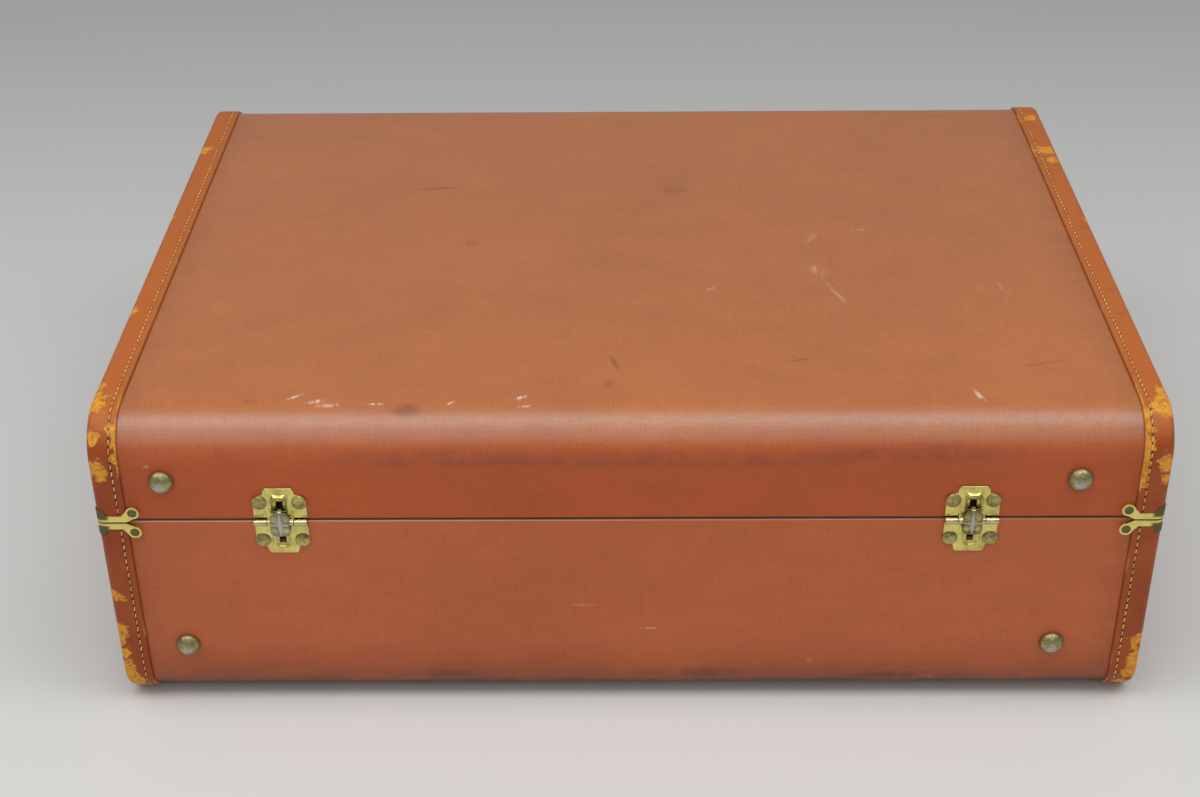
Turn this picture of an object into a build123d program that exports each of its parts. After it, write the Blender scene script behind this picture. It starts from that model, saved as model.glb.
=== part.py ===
from build123d import *
import os

# A hard-shell suitcase, lying closed on the face of its deeper half, in millimetres.
# +X runs along its length, +Z is up, and the two hinges are on the -Y side.
# The origin is on the resting plane, below the middle of the case.

# Overall form, measured over the leather bindings
case_length = 610.0
case_width = 455.0
case_height = 200.0
seam_height = 133.4
seam_gap = 0.8
lid_edge_radius = 27.5
base_edge_radius = 25.0

# Walls, from the outside in
binding_thickness = 1.8
binding_leg = 17.0
binding_corner_radius = 4.0
cover_thickness = 0.8
shell_thickness = 4.0
end_thickness = 5.0
lining_thickness = 0.8

# Rim fixed inside the base, which the lid closes over
rim_thickness = 3.0
rim_depth = 14.0
rim_rise = 8.0
rim_clearance = 0.8
rim_chamfer = 1.2

# Stop hinges; their places, and those of the feet, are measured from the left and right ends
hinge_margins = (105.5, 109.5)
hinge_axis_out = 2.3
hinge_pin_radius = 1.1
running_clearance = 0.05
knuckle_radius = 1.9
knuckle_gap = 0.2
hinge_width = 30.6
centre_knuckle = 15.4
leaf_thickness = 0.9
leaf_reach = 22.4
leaf_shoulder = 16.8
leaf_tab_width = 17.0
leaf_corner_cut = 2.4
leaf_flare = 1.0
stay_hole_width = 3.8
stay_hole_low = 9.4
stay_hole_high = 13.4
stay_mouth_width = 7.4
stay_mouth_low = 6.8
bridge_width = 10.0
bridge_height = 3.4
bridge_proud = 0.9
bridge_bevel = 0.7
bridge_gap = 0.3
knuckle_root = 0.5
stay_width = 11.4
stay_reach = 8.2
stay_thickness = 0.7
stay_crest = 2.6
stay_end_drop = 0.5
stay_tongue_width = 2.6
stay_tongue_reach = 9.2
stay_tongue_depth = 3.3
stay_tongue_root = 1.2
stay_tongue_tip = 0.8
stay_waist = 0.8
stay_pocket_clearance = 0.4

# Rivets: head diameter, head height, shank radius
hinge_rivet_across = 11.6
hinge_rivet_along = 13.0
hinge_rivet_head = 8.4
hinge_rivet_height = 1.3
rivet_radius = 1.4
rivet_clearance = 0.15

# Domed feet on the hinge side, so that the case can stand on it
foot_diameter = 14.6
foot_height = 5.8
foot_shank_radius = 1.6
lid_foot_drop = 39.6
base_foot_height = 43.2
lid_feet_margins = (39.7, 50.6)
base_feet_margins = (41.3, 53.9)

# Brass clips that hold the bindings down at the seam
clip_thickness = 0.5
clip_ear_radius = 3.9
clip_ear_rise = 6.6
clip_ear_gap = 0.1
clip_seam_gap = 0.1
clip_neck_rise = 3.0
clip_neck_width = 4.0
clip_arm_root = 2.6
clip_arm_rise = 4.4
clip_flare_rise = 8.8
clip_flare_run = 7.0
clip_rivet_head = 4.4
clip_rivet_height = 0.6
clip_rivet_sunk = 0.25

# Latches on the handle side
latch_margin = 120.0
latch_width = 36.0
latch_height = 24.0
latch_depth = 5.6
latch_wall = 0.9
latch_below_seam = 4.6
latch_notch_width = 12.6
latch_notch_depth = 10.6
latch_corner_radius = 2.5
slide_travel = 6.2
slide_thickness = 2.0
slide_out = 1.9
bolt_height = 3.8
bolt_length = 10.1
bolt_nose_gap = 0.2
rail_height = 1.0
slide_arm_width = 5.0
slide_arm_drop = 12.0
slide_neck_size = 3.0
slide_gap = 0.3
button_length = 9.0
button_height = 6.6
button_clearance = 0.5
button_thickness = 2.4
button_corner_radius = 1.8
button_edge_radius = 0.8
bolt_chamfer = 0.5
hasp_width = 17.0
hasp_thickness = 1.1
hasp_axis_out = 4.9
hasp_axis_rise = 6.6
hasp_knuckle_radius = 2.1
hasp_pin_radius = 1.0
hasp_centre_knuckle = 9.0
hasp_plate_width = 26.0
hasp_plate_height = 20.0
hasp_plate_thickness = 1.0
hasp_plate_margin = 1.0
hasp_shoulder_gap = 0.4
hasp_corner_radius = 4.0
tongue_x = 2.5
tongue_thickness = 2.0
tongue_height = 8.0
tongue_gap = 0.9
latch_rivet_head = 4.0
latch_rivet_height = 0.8
plate_corner_radius = 2.0
flange_width = 28.0
flange_height = 5.5
flange_rivet_across = 9.0
plate_rivet_across = 8.7

# Handle with a steel core, on two brackets
handle_below_seam = 15.4
handle_axis_out = 5.9
handle_rod_radius = 2.0
handle_drop = 27.0
handle_bend_radius = 6.0
handle_end_margin = 2.5
bracket_x = 72.0
bracket_barrel_length = 13.0
bracket_barrel_wall = 1.1
bracket_width = 22.0
bracket_height = 20.0
bracket_thickness = 1.2
grip_length = 96.0
grip_thickness = 10.6
grip_end_height = 17.0
grip_middle_height = 22.0
ferrule_length = 5.0
ferrule_wall = 0.9
grip_edge_radius = 2.0

# Inside: shirred pocket in the lid, straps and buckle on the base's floor
pocket_thickness = 7.0
pocket_end_margin = 46.6
pocket_width = 250.0
pocket_hinge_margin = 40.0
pocket_corner_radius = 12.0
pocket_edge_radius = 3.2
strap_width = 25.0
strap_thickness = 1.5
strap_rise = 62.0
strap_gap = 0.2
strap_bend_radius = 6.0
buckle_length = 26.0
buckle_height = 32.0
buckle_thickness = 3.0
buckle_rim = 3.0
buckle_corner_radius = 3.0
buckle_chamfer = 0.5
buckle_play = 1.0
anchor_diameter = 12.0
anchor_height = 1.4
anchor_chamfer = 0.5

half_length = case_length / 2
half_width = case_width / 2
cover_face = half_width - binding_thickness
inside_cover = binding_thickness + cover_thickness
inside_shell = inside_cover + shell_thickness
inside_lining = inside_shell + lining_thickness
shell_end_x = half_length - inside_cover
end_inner_x = shell_end_x - end_thickness
lining_end_x = end_inner_x - lining_thickness
lid_seam = seam_height + seam_gap / 2
base_seam = seam_height - seam_gap / 2


class Half:
    """One half of the case: where its seam and its far face are, and which way its wall rises."""

    def __init__(self, name, seam, far, up, radius):
        self.name = name
        self.seam = seam
        self.far = far
        self.up = up
        self.radius = radius


lid = Half("lid", lid_seam, case_height, 1, lid_edge_radius)
base = Half("base", base_seam, 0.0, -1, base_edge_radius)
parts = {}


def half_prism(half, inset, x_low, x_high, past_seam=0.0):
    """Solid of a half's outline at a given depth inside the bindings, rounded along its far edges."""
    near = half.seam - half.up * past_seam
    far = half.far - half.up * inset
    outline = Pos(0, (near + far) / 2) * Rectangle(case_width - 2 * inset, abs(far - near))
    corners = [v for v in outline.vertices() if abs(v.Y - far) < 0.01]
    outline = fillet(corners, half.radius - inset)
    return extrude(Plane.YZ.offset(x_low) * outline, x_high - x_low)


def on_wall(side, x, out, z):
    """Plane on the wall of one long side: local X along the case, Y up and Z away from the wall."""
    return Plane(origin=(x, side * (cover_face + out), z), x_dir=(-side, 0, 0), z_dir=(0, side, 0))


def along_x(side, x, out, z):
    """Plane across the case at x: local X away from the wall of one side, Y up."""
    return Plane(origin=(x, side * (cover_face + out), z), x_dir=(0, side, 0), z_dir=(side, 0, 0))


def rod_along_x(side, x_middle, length, out, z, radius):
    """Round bar parallel to the case's length, beside the wall of one side."""
    bar = Cylinder(radius, length, rotation=(0, 90, 0))
    return Pos(x_middle, side * (cover_face + out), z) * bar


def dome(diameter, height):
    """Shallow spherical cap standing on the XY plane."""
    rim = diameter / 2
    ball = (rim * rim + height * height) / (2 * height)
    cap = Pos(0, 0, height - ball) * Sphere(ball)
    return cap & Pos(0, 0, height / 2) * Box(diameter, diameter, height)


def rivet(head, head_height, shank_radius, shank_length):
    """Domed head on the XY plane with its shank going down."""
    shank = Pos(0, 0, -shank_length / 2) * Cylinder(shank_radius, shank_length)
    return dome(head, head_height) + shank


def joined(solids):
    """Separate solids that share one node."""
    return Compound(children=list(solids))


def from_ends(margins):
    """Two places along the case, given by their distances from its left and right ends."""
    left, right = margins
    return (left - half_length, half_length - right)


# Where rivets and feet pass through the walls
wall_through = cover_thickness + shell_thickness
latch_x = half_length - latch_margin
hinge_places = from_ends(hinge_margins)
hinge_rivet_places = {
    half.name: [
        (x + dx, seam_height + half.up * hinge_rivet_along)
        for x in hinge_places
        for dx in (-hinge_rivet_across, hinge_rivet_across)
    ]
    for half in (lid, base)
}
foot_places = {
    "lid": [(x, case_height - lid_foot_drop) for x in from_ends(lid_feet_margins)],
    "base": [(x, base_foot_height) for x in from_ends(base_feet_margins)],
}
handle_axis_z = seam_height - handle_below_seam
latch_top = base_seam - latch_below_seam
latch_middle_z = latch_top - latch_height / 2
flange_rise = -(latch_height + flange_height) / 2
flange_rivet_pair = (-flange_rivet_across, flange_rivet_across)
hasp_axis_z = seam_height + hasp_axis_rise
hasp_plate_low = hasp_axis_z - hasp_knuckle_radius
hasp_rivet_z = hasp_plate_low + hasp_plate_height - latch_rivet_head
bracket_rivet_z = handle_axis_z - bracket_height / 2 + latch_rivet_head
plate_rivet_pair = (-plate_rivet_across, plate_rivet_across)
back_rivet_places = {
    "lid": [(s * latch_x + dx, hasp_rivet_z) for s in (-1, 1) for dx in plate_rivet_pair],
    "base": [(s * bracket_x + dx, bracket_rivet_z) for s in (-1, 1) for dx in plate_rivet_pair],
}


def wall_holes(half):
    """Everything that is drilled or cut through the two long walls of a half."""
    holes = []
    for x, z in hinge_rivet_places[half.name]:
        holes.append((-1, x, z, rivet_radius))
    for x, z in foot_places[half.name]:
        holes.append((-1, x, z, foot_shank_radius))
    for x, z in back_rivet_places[half.name]:
        holes.append((1, x, z, rivet_radius))
    tools = []
    for side, x, z, radius in holes:
        bore = Cylinder(radius + rivet_clearance, 2 * wall_through)
        tools.append(on_wall(side, x, 0, z) * bore)
    pocket_width = stay_mouth_width + stay_pocket_clearance
    pocket_low = stay_mouth_low - 2 * stay_pocket_clearance
    pocket_height = stay_hole_high - pocket_low
    for x in hinge_places:
        z = seam_height + half.up * (pocket_low + pocket_height / 2)
        tools.append(on_wall(-1, x, 0, z) * Box(pocket_width, pocket_height, 2 * wall_through))
    return tools


def make_half(half):
    """Plywood wrap and ends, coated cloth, leather bindings and lining of one half."""
    over = 1.0
    holes = wall_holes(half)
    shell = half_prism(half, inside_cover, -shell_end_x, shell_end_x)
    shell -= half_prism(half, inside_shell, -shell_end_x - over, shell_end_x + over, over)
    parts[half.name + "_shell"] = shell - holes
    cover = half_prism(half, binding_thickness, -shell_end_x, shell_end_x)
    cover -= half_prism(half, inside_cover, -shell_end_x - over, shell_end_x + over, over)
    parts[half.name + "_cover"] = cover - holes
    parts[half.name + "_end_left"] = half_prism(half, inside_shell, -shell_end_x, -end_inner_x)
    parts[half.name + "_end_right"] = half_prism(half, inside_shell, end_inner_x, shell_end_x)
    cover_end_x = shell_end_x + cover_thickness
    parts[half.name + "_end_covers"] = joined(
        [
            half_prism(half, binding_thickness, -cover_end_x, -shell_end_x),
            half_prism(half, binding_thickness, shell_end_x, cover_end_x),
        ]
    )
    lining = half_prism(half, inside_shell, -end_inner_x, end_inner_x)
    lining -= half_prism(half, inside_lining, -lining_end_x, lining_end_x, over)
    parts[half.name + "_lining"] = lining

    binding = half_prism(half, 0, half_length - binding_leg, half_length)
    rim = binding.faces().sort_by(Axis.X)[-1].edges()
    rim = [e for e in rim if abs(e.center().Z - half.seam) > 0.01]
    binding = fillet(rim, binding_corner_radius)
    inner_x = half_length - binding_leg - over
    binding -= half_prism(half, binding_thickness, inner_x, cover_end_x, over)
    binding -= half_prism(half, binding_leg, cover_end_x - over, half_length + over, over)
    parts[half.name + "_binding_right"] = binding
    parts[half.name + "_binding_left"] = mirror(binding, about=Plane.YZ)


def make_rim():
    """Rim inside the base: its lower part is fixed to the lining, its upper part is set in for the lid."""
    low = base_seam - rim_depth
    outer = Rectangle(2 * lining_end_x, case_width - 2 * inside_lining)
    inner = offset(outer, -rim_thickness, kind=Kind.INTERSECTION)
    upper = offset(outer, -rim_clearance, kind=Kind.INTERSECTION)
    lower_ring = extrude(Pos(0, 0, low) * (outer - inner), rim_depth)
    upper_block = extrude(Pos(0, 0, base_seam) * upper, rim_rise)
    upper_block = chamfer(upper_block.faces().sort_by(Axis.Z)[-1].edges(), rim_chamfer)
    upper_ring = upper_block - extrude(Pos(0, 0, base_seam) * inner, rim_rise)
    parts["base_rim"] = lower_ring + upper_ring


def leaf_outline():
    """Half-plate of a stop hinge, above its axis: shoulders, a narrower tab and the opening for the stay."""
    edge = knuckle_radius + knuckle_gap
    side = hinge_width / 2
    tab = leaf_tab_width / 2
    cut = leaf_corner_cut
    flare = leaf_flare
    right = [
        (side, edge),
        (side, leaf_shoulder - cut),
        (side - cut, leaf_shoulder),
        (tab + flare, leaf_shoulder + flare),
        (tab, leaf_reach - flare),
        (tab - flare, leaf_reach),
    ]
    left = [(-x, y) for x, y in reversed(right)]
    plate = make_face(Polyline(*right, *left, close=True))
    hole_height = stay_hole_high - stay_hole_low
    hole = Pos(0, stay_hole_low + hole_height / 2) * Rectangle(stay_hole_width, hole_height)
    mouth = Polyline(
        (-stay_hole_width / 2, stay_hole_low),
        (stay_hole_width / 2, stay_hole_low),
        (stay_mouth_width / 2, stay_mouth_low),
        (-stay_mouth_width / 2, stay_mouth_low),
        close=True,
    )
    return plate - hole - make_face(mouth)


def knuckle(x_low, x_high):
    """Rolled barrel of a leaf, with the strip that joins it to the plate, about the hinge axis."""
    length = x_high - x_low
    barrel = Pos((x_low + x_high) / 2, 0, 0) * Cylinder(knuckle_radius, length, rotation=(0, 90, 0))
    strip_low = -hinge_axis_out
    strip_high = strip_low + leaf_thickness
    edge = knuckle_radius + knuckle_gap
    strip = Pos((x_low + x_high) / 2, (knuckle_root + edge) / 2, (strip_low + strip_high) / 2)
    return barrel + strip * Box(length, edge - knuckle_root, leaf_thickness)


def make_leaf(knuckles):
    """One leaf, with its origin on the axis: X along the axis, Y along the leaf, Z away from the wall."""
    plate = extrude(Pos(0, 0, -hinge_axis_out) * leaf_outline(), leaf_thickness)
    for x_low, x_high in knuckles:
        plate += knuckle(x_low, x_high)
    bridge_middle = stay_hole_high + bridge_height / 2 + bridge_gap
    face = -hinge_axis_out + leaf_thickness
    bridge = Pos(0, bridge_middle, face) * Box(
        bridge_width, bridge_height, bridge_proud, align=(Align.CENTER, Align.CENTER, Align.MIN)
    )
    bridge = chamfer(bridge.faces().sort_by(Axis.Z)[-1].edges(), bridge_bevel)
    plate += bridge
    bore = Cylinder(hinge_pin_radius + running_clearance, hinge_width + 2, rotation=(0, 90, 0))
    holes = [
        Pos(dx, hinge_rivet_along, 0) * Cylinder(rivet_radius + rivet_clearance, 4 * hinge_axis_out)
        for dx in (-hinge_rivet_across, hinge_rivet_across)
    ]
    return plate - bore - holes


def stay_profile():
    """Side view of the floating stay: an arched plate over the barrel with a hooked tongue at each end."""
    crest_in = stay_crest
    end_in = stay_crest - stay_end_drop
    crest_out = crest_in + stay_thickness
    end_out = end_in + stay_thickness
    reach = stay_reach
    outer = ThreePointArc((end_out, -reach), (crest_out, 0), (end_out, reach))
    inner = ThreePointArc((end_in, reach), (crest_in, 0), (end_in, -reach))
    edges = [outer, Line((end_out, reach), (end_in, reach)), inner, Line((end_in, -reach), (end_out, -reach))]
    return make_face(edges)


def tongue_profile():
    """Hook at the upper end of the stay, which leans through the leaf's opening."""
    end_in = stay_crest - stay_end_drop
    tip_in = end_in - stay_tongue_depth
    end_out = end_in + stay_thickness
    return make_face(
        Polyline(
            (end_in, stay_reach - stay_tongue_root),
            (end_out, stay_reach - stay_tongue_root / 2),
            (end_out, stay_reach),
            (tip_in + stay_tongue_tip / 2, stay_tongue_reach),
            (tip_in, stay_tongue_reach - stay_tongue_tip),
            (end_in - stay_thickness / 2, stay_reach - stay_tongue_root),
            close=True,
        )
    )


def make_stay(x):
    """Floating stay of one hinge: four-lobed shield in front view, tongues in the two openings."""
    here = along_x(-1, x, hinge_axis_out, seam_height)
    shield = extrude(here * stay_profile(), stay_width / 2, both=True)
    lobe = stay_width / 4
    reach = stay_reach
    waist = stay_waist
    front = Polyline(
        (lobe, reach),
        (2 * lobe, reach - lobe),
        (2 * lobe, waist),
        (2 * lobe - waist, 0),
        (2 * lobe, -waist),
        (2 * lobe, lobe - reach),
        (lobe, -reach),
        (-lobe, -reach),
        (-2 * lobe, lobe - reach),
        (-2 * lobe, -waist),
        (waist - 2 * lobe, 0),
        (-2 * lobe, waist),
        (-2 * lobe, reach - lobe),
        (-lobe, reach),
        close=True,
    )
    cutter = extrude(on_wall(-1, x, 0, seam_height) * make_face(front), 4 * hinge_axis_out)
    stay = shield & cutter
    tongue = extrude(here * tongue_profile(), stay_tongue_width / 2, both=True)
    lower = mirror(tongue, about=Plane.XY.offset(seam_height))
    return stay + tongue + lower


def make_hinges():
    """Two stop hinges: leaves, pins, floating stays and the rivets of each half."""
    gap = knuckle_gap / 2
    side = hinge_width / 2
    centre = centre_knuckle / 2
    lid_leaf = make_leaf([(-centre + gap, centre - gap)])
    base_leaf = make_leaf([(-side, -centre - gap), (centre + gap, side)])
    names = ("hinge_left", "hinge_right")
    for name, x in zip(names, hinge_places):
        up = Plane(origin=(x, -cover_face - hinge_axis_out, seam_height), x_dir=(1, 0, 0), z_dir=(0, -1, 0))
        down = Plane(origin=up.origin, x_dir=(-1, 0, 0), z_dir=(0, -1, 0))
        parts[name + "_lid_leaf"] = up * lid_leaf
        parts[name + "_base_leaf"] = down * base_leaf
        parts[name + "_pin"] = rod_along_x(-1, x, hinge_width, hinge_axis_out, seam_height, hinge_pin_radius)
        parts[name + "_stay"] = make_stay(x)
    body = rivet(hinge_rivet_head, hinge_rivet_height, rivet_radius, leaf_thickness + wall_through)
    for half in (lid, base):
        parts[half.name + "_hinge_rivets"] = joined(
            on_wall(-1, x, leaf_thickness, z) * body for x, z in hinge_rivet_places[half.name]
        )


def make_feet():
    """Domed studs on the hinge side of each half."""
    body = rivet(foot_diameter, foot_height, foot_shank_radius, wall_through)
    for half in (lid, base):
        parts[half.name + "_feet"] = joined(
            on_wall(-1, x, 0, z) * body for x, z in foot_places[half.name]
        )


def clip_view(near, ear, corner, up):
    """Front view of a clip: an arm along the seam, an ear at its inner end and a flare at the corner."""
    low = seam_gap / 2 + clip_seam_gap
    direction = 1 if corner > near else -1
    neck = direction * clip_neck_width / 2
    arm = make_face(
        Polyline(
            (near, up * low),
            (corner, up * low),
            (corner, up * clip_flare_rise),
            (corner - direction * clip_flare_run / 2, up * (clip_flare_rise + clip_arm_rise) * 0.6),
            (corner - direction * clip_flare_run, up * clip_arm_rise),
            (near + direction * clip_arm_root, up * clip_arm_rise),
            (ear + neck, up * (clip_ear_rise + clip_neck_rise)),
            (ear - neck, up * (clip_ear_rise - clip_neck_rise)),
            close=True,
        )
    )
    return arm + Pos(ear, up * clip_ear_rise) * Circle(clip_ear_radius)


def make_clip(side_x, side_y, up):
    """Clip folded round one vertical corner, with its rivets: the wall leg and the end leg look the same."""
    outer = RectangleRounded(
        case_length + 2 * clip_thickness,
        case_width + 2 * clip_thickness,
        binding_corner_radius + clip_thickness,
    )
    band = outer - RectangleRounded(case_length, case_width, binding_corner_radius)
    tall = 2 * clip_flare_rise + 2
    band = extrude(Pos(0, 0, seam_height - tall / 2) * band, tall)
    ear = binding_leg + clip_ear_radius + clip_ear_gap
    reach = ear + clip_ear_radius + 1
    corner = (side_x * half_length, side_y * half_width, seam_height)
    wall_view = Plane(origin=corner, x_dir=(-side_x, 0, 0), z_dir=(0, side_x, 0))
    end_view = Plane(origin=corner, x_dir=(0, -side_y, 0), z_dir=(-side_y, 0, 0))
    view = clip_view(binding_leg, ear, -clip_thickness, up)
    deep = binding_corner_radius + clip_thickness
    clip = Part()
    for plane, size in ((wall_view, (2 * reach, 2 * deep)), (end_view, (2 * deep, 2 * reach))):
        clip += band & extrude(plane * view, deep, both=True) & Pos(*corner) * Box(*size, tall)

    ear_height = binding_thickness + clip_thickness
    ear_z = seam_height + up * clip_ear_rise
    seat = ear_height - clip_rivet_sunk
    post = Pos(0, 0, ear_height / 2) * Cylinder(clip_ear_radius, ear_height)
    recess = Pos(0, 0, ear_height) * Cylinder(clip_rivet_head / 2 + rivet_clearance, 2 * clip_rivet_sunk)
    hole = Cylinder(rivet_radius + rivet_clearance, 4 * ear_height)
    body = Pos(0, 0, seat) * rivet(clip_rivet_head, clip_rivet_height, rivet_radius, seat)
    wall_ear = Plane(origin=(side_x * (half_length - ear), side_y * cover_face, ear_z), z_dir=(0, side_y, 0))
    end_x = side_x * (half_length - binding_thickness)
    end_ear = Plane(origin=(end_x, side_y * (half_width - ear), ear_z), z_dir=(side_x, 0, 0))
    rivets = []
    for place in (wall_ear, end_ear):
        clip += place * post
        clip -= place * (recess + hole)
        rivets.append(place * body)
    return clip, rivets


def make_clips():
    """Clips at the four corners, for the lid and the base, and their rivets."""
    for half in (lid, base):
        clips = []
        rivets = []
        for side_x in (-1, 1):
            for side_y in (-1, 1):
                clip, pair = make_clip(side_x, side_y, half.up)
                clips.append(clip)
                rivets += pair
        parts[half.name + "_corner_clips"] = joined(clips)
        parts[half.name + "_clip_rivets"] = joined(rivets)


def barrel_bracket(side_up, plate_low, plate_height, plate_width, thickness, axis_out, radius, lengths):
    """Plate on a wall with barrels held off it: local X along the case, Y up from the axis, Z outwards."""
    plate = Pos(0, plate_low + plate_height / 2, thickness / 2) * Box(plate_width, plate_height, thickness)
    plate = fillet(plate.edges().filter_by(Axis.Z), plate_corner_radius)
    riser = make_face(
        Polyline(
            (0, thickness / 2),
            (side_up * 2.2 * radius, thickness / 2),
            (side_up * 0.8 * radius, axis_out),
            (-side_up * 0.6 * radius, axis_out),
            close=True,
        )
    )
    for x_low, x_high in lengths:
        length = x_high - x_low
        block = extrude(Plane(origin=(x_low, 0, 0), x_dir=(0, 1, 0), z_dir=(1, 0, 0)) * riser, length)
        barrel = Cylinder(radius, length, rotation=(0, 90, 0))
        plate += block + Pos((x_low + x_high) / 2, 0, axis_out) * barrel
    return plate


def make_latch(name, side_x):
    """Latch of one side, built as the right one: hasp on the lid, lock case and slide on the base."""
    x = latch_x
    made = {}
    bolt_z = latch_top - latch_notch_depth / 2
    bolt_rise = bolt_z - latch_middle_z
    arm_low = bolt_rise + bolt_height / 2 - slide_arm_drop
    neck_y = arm_low + slide_neck_size / 2 + slide_gap
    button_top = latch_middle_z + neck_y + button_height / 2
    hasp_length = hasp_axis_z - button_top - button_clearance
    half_hasp = hasp_centre_knuckle / 2
    outer_end = hasp_width / 2 + hasp_plate_margin
    plate = barrel_bracket(
        1,
        -hasp_knuckle_radius,
        hasp_plate_height,
        hasp_plate_width,
        hasp_plate_thickness,
        hasp_axis_out,
        hasp_knuckle_radius,
        [(-outer_end, -half_hasp - knuckle_gap), (half_hasp + knuckle_gap, outer_end)],
    )
    bore = Pos(0, 0, hasp_axis_out) * Cylinder(
        hasp_pin_radius + running_clearance, 3 * hasp_width, rotation=(0, 90, 0)
    )
    rivet_rise = hasp_rivet_z - hasp_axis_z
    plate_hole = Cylinder(rivet_radius + rivet_clearance, 8)
    holes = [Pos(dx, rivet_rise, 0) * plate_hole for dx in plate_rivet_pair]
    lid_wall = on_wall(1, x, 0, hasp_axis_z)
    made["_hasp_plate"] = lid_wall * (plate - bore - holes)
    made["_hasp_pin"] = rod_along_x(1, x, 2 * outer_end, hasp_axis_out, hasp_axis_z, hasp_pin_radius)

    hasp_face = hasp_axis_out + hasp_knuckle_radius - hasp_thickness
    clear_drop = hasp_knuckle_radius + hasp_shoulder_gap
    leaf = Pos(0, -(clear_drop + hasp_length) / 2, hasp_face + hasp_thickness / 2) * Box(
        hasp_width, hasp_length - clear_drop, hasp_thickness
    )
    leaf = fillet(leaf.edges().filter_by(Axis.Z).sort_by(Axis.Y)[:2], hasp_corner_radius)
    neck = Pos(0, -clear_drop / 2, hasp_face + hasp_thickness / 2) * Box(
        hasp_centre_knuckle, clear_drop + hasp_shoulder_gap, hasp_thickness
    )
    drum = Pos(0, 0, hasp_axis_out) * Cylinder(hasp_knuckle_radius, hasp_centre_knuckle, rotation=(0, 90, 0))
    tongue_low = bolt_z - tongue_height / 2 - hasp_axis_z
    tongue_deep = hasp_face - tongue_gap
    tongue = Pos(-tongue_x, tongue_low + tongue_height / 2, tongue_gap + tongue_deep / 2) * Box(
        tongue_thickness, tongue_height, tongue_deep
    )
    window = Pos(-tongue_x, bolt_z - hasp_axis_z, slide_out + slide_thickness / 2) * Box(
        2 * tongue_thickness, bolt_height + 2 * slide_gap, slide_thickness + 2 * slide_gap
    )
    made["_hasp"] = lid_wall * (leaf + neck + drum + tongue - window - bore)

    body = Pos(0, 0, latch_depth / 2) * Box(latch_width, latch_height, latch_depth)
    body = fillet(body.edges().filter_by(Axis.Z), latch_corner_radius)
    body = chamfer(body.faces().sort_by(Axis.Z)[-1].edges(), latch_wall * 0.6)
    cavity = Pos(0, 0, (latch_depth - latch_wall) / 2) * Box(
        latch_width - 2 * latch_wall, latch_height - 2 * latch_wall, latch_depth - latch_wall
    )
    notch = Pos(0, (latch_height - latch_notch_depth) / 2, latch_depth / 2) * Box(
        latch_notch_width, latch_notch_depth, 2 * latch_depth
    )
    nose = latch_notch_width / 2 + bolt_nose_gap
    arm_right = nose + bolt_length
    neck_x = arm_right - slide_arm_width / 2
    slot_length = slide_travel + slide_neck_size + 2 * slide_gap
    slot = Pos(-(neck_x - slide_travel / 2), neck_y, latch_depth) * Box(
        slot_length, slide_neck_size + 2 * slide_gap, 4 * latch_wall
    )
    rail_end = latch_width / 2 - latch_wall
    rail_y = bolt_rise + bolt_height / 2 + slide_gap + rail_height / 2
    rail = Pos(-(nose + rail_end) / 2, rail_y, latch_depth / 2) * Box(
        rail_end - nose, rail_height, latch_depth - 2 * latch_wall
    )
    lock_case = body - cavity + rail - notch - slot
    flange = Pos(0, flange_rise + latch_wall / 2, latch_wall / 2) * Box(
        flange_width, flange_height + latch_wall, latch_wall
    )
    flange_hole = Cylinder(rivet_radius + rivet_clearance, 2 * latch_depth)
    flange_holes = [Pos(dx, flange_rise, 0) * flange_hole for dx in flange_rivet_pair]
    base_wall = on_wall(1, x, 0, latch_middle_z)
    made["_lock_case"] = base_wall * (lock_case + flange - flange_holes)

    bolt = Pos(-(nose + bolt_length / 2), bolt_rise, slide_out + slide_thickness / 2) * Box(
        bolt_length, bolt_height, slide_thickness
    )
    bolt = chamfer(bolt.edges().filter_by(Axis.Y).sort_by(Axis.X)[-2:], bolt_chamfer)
    arm = Pos(-neck_x, arm_low + slide_arm_drop / 2, slide_out + slide_thickness / 2) * Box(
        slide_arm_width, slide_arm_drop, slide_thickness
    )
    neck_length = latch_depth + slide_gap - slide_out - slide_thickness / 2
    slide_neck = Pos(-neck_x, neck_y, slide_out + slide_thickness / 2 + neck_length / 2) * Box(
        slide_neck_size, slide_neck_size, neck_length
    )
    button = Pos(-neck_x, neck_y, latch_depth + slide_gap + button_thickness / 2) * Box(
        button_length, button_height, button_thickness
    )
    button = fillet(button.edges().filter_by(Axis.Z), button_corner_radius)
    button = fillet(button.faces().sort_by(Axis.Z)[-1].edges(), button_edge_radius)
    made["_slide"] = base_wall * (bolt + arm + slide_neck + button)

    for suffix, shape in made.items():
        parts[name + suffix] = shape if side_x > 0 else mirror(shape, about=Plane.YZ)


def make_latches():
    """Both latches with the rivets of their plates."""
    make_latch("latch_right", 1)
    make_latch("latch_left", -1)
    small = rivet(latch_rivet_head, latch_rivet_height, rivet_radius, hasp_plate_thickness + wall_through)
    parts["hasp_plate_rivets"] = joined(
        on_wall(1, x, hasp_plate_thickness, z) * small for x, z in back_rivet_places["lid"]
    )
    flange_z = latch_middle_z + flange_rise
    pin = rivet(latch_rivet_head, latch_rivet_height, rivet_radius, latch_wall)
    parts["lock_case_rivets"] = joined(
        on_wall(1, s * latch_x + dx, latch_wall, flange_z) * pin
        for s in (-1, 1)
        for dx in flange_rivet_pair
    )


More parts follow.
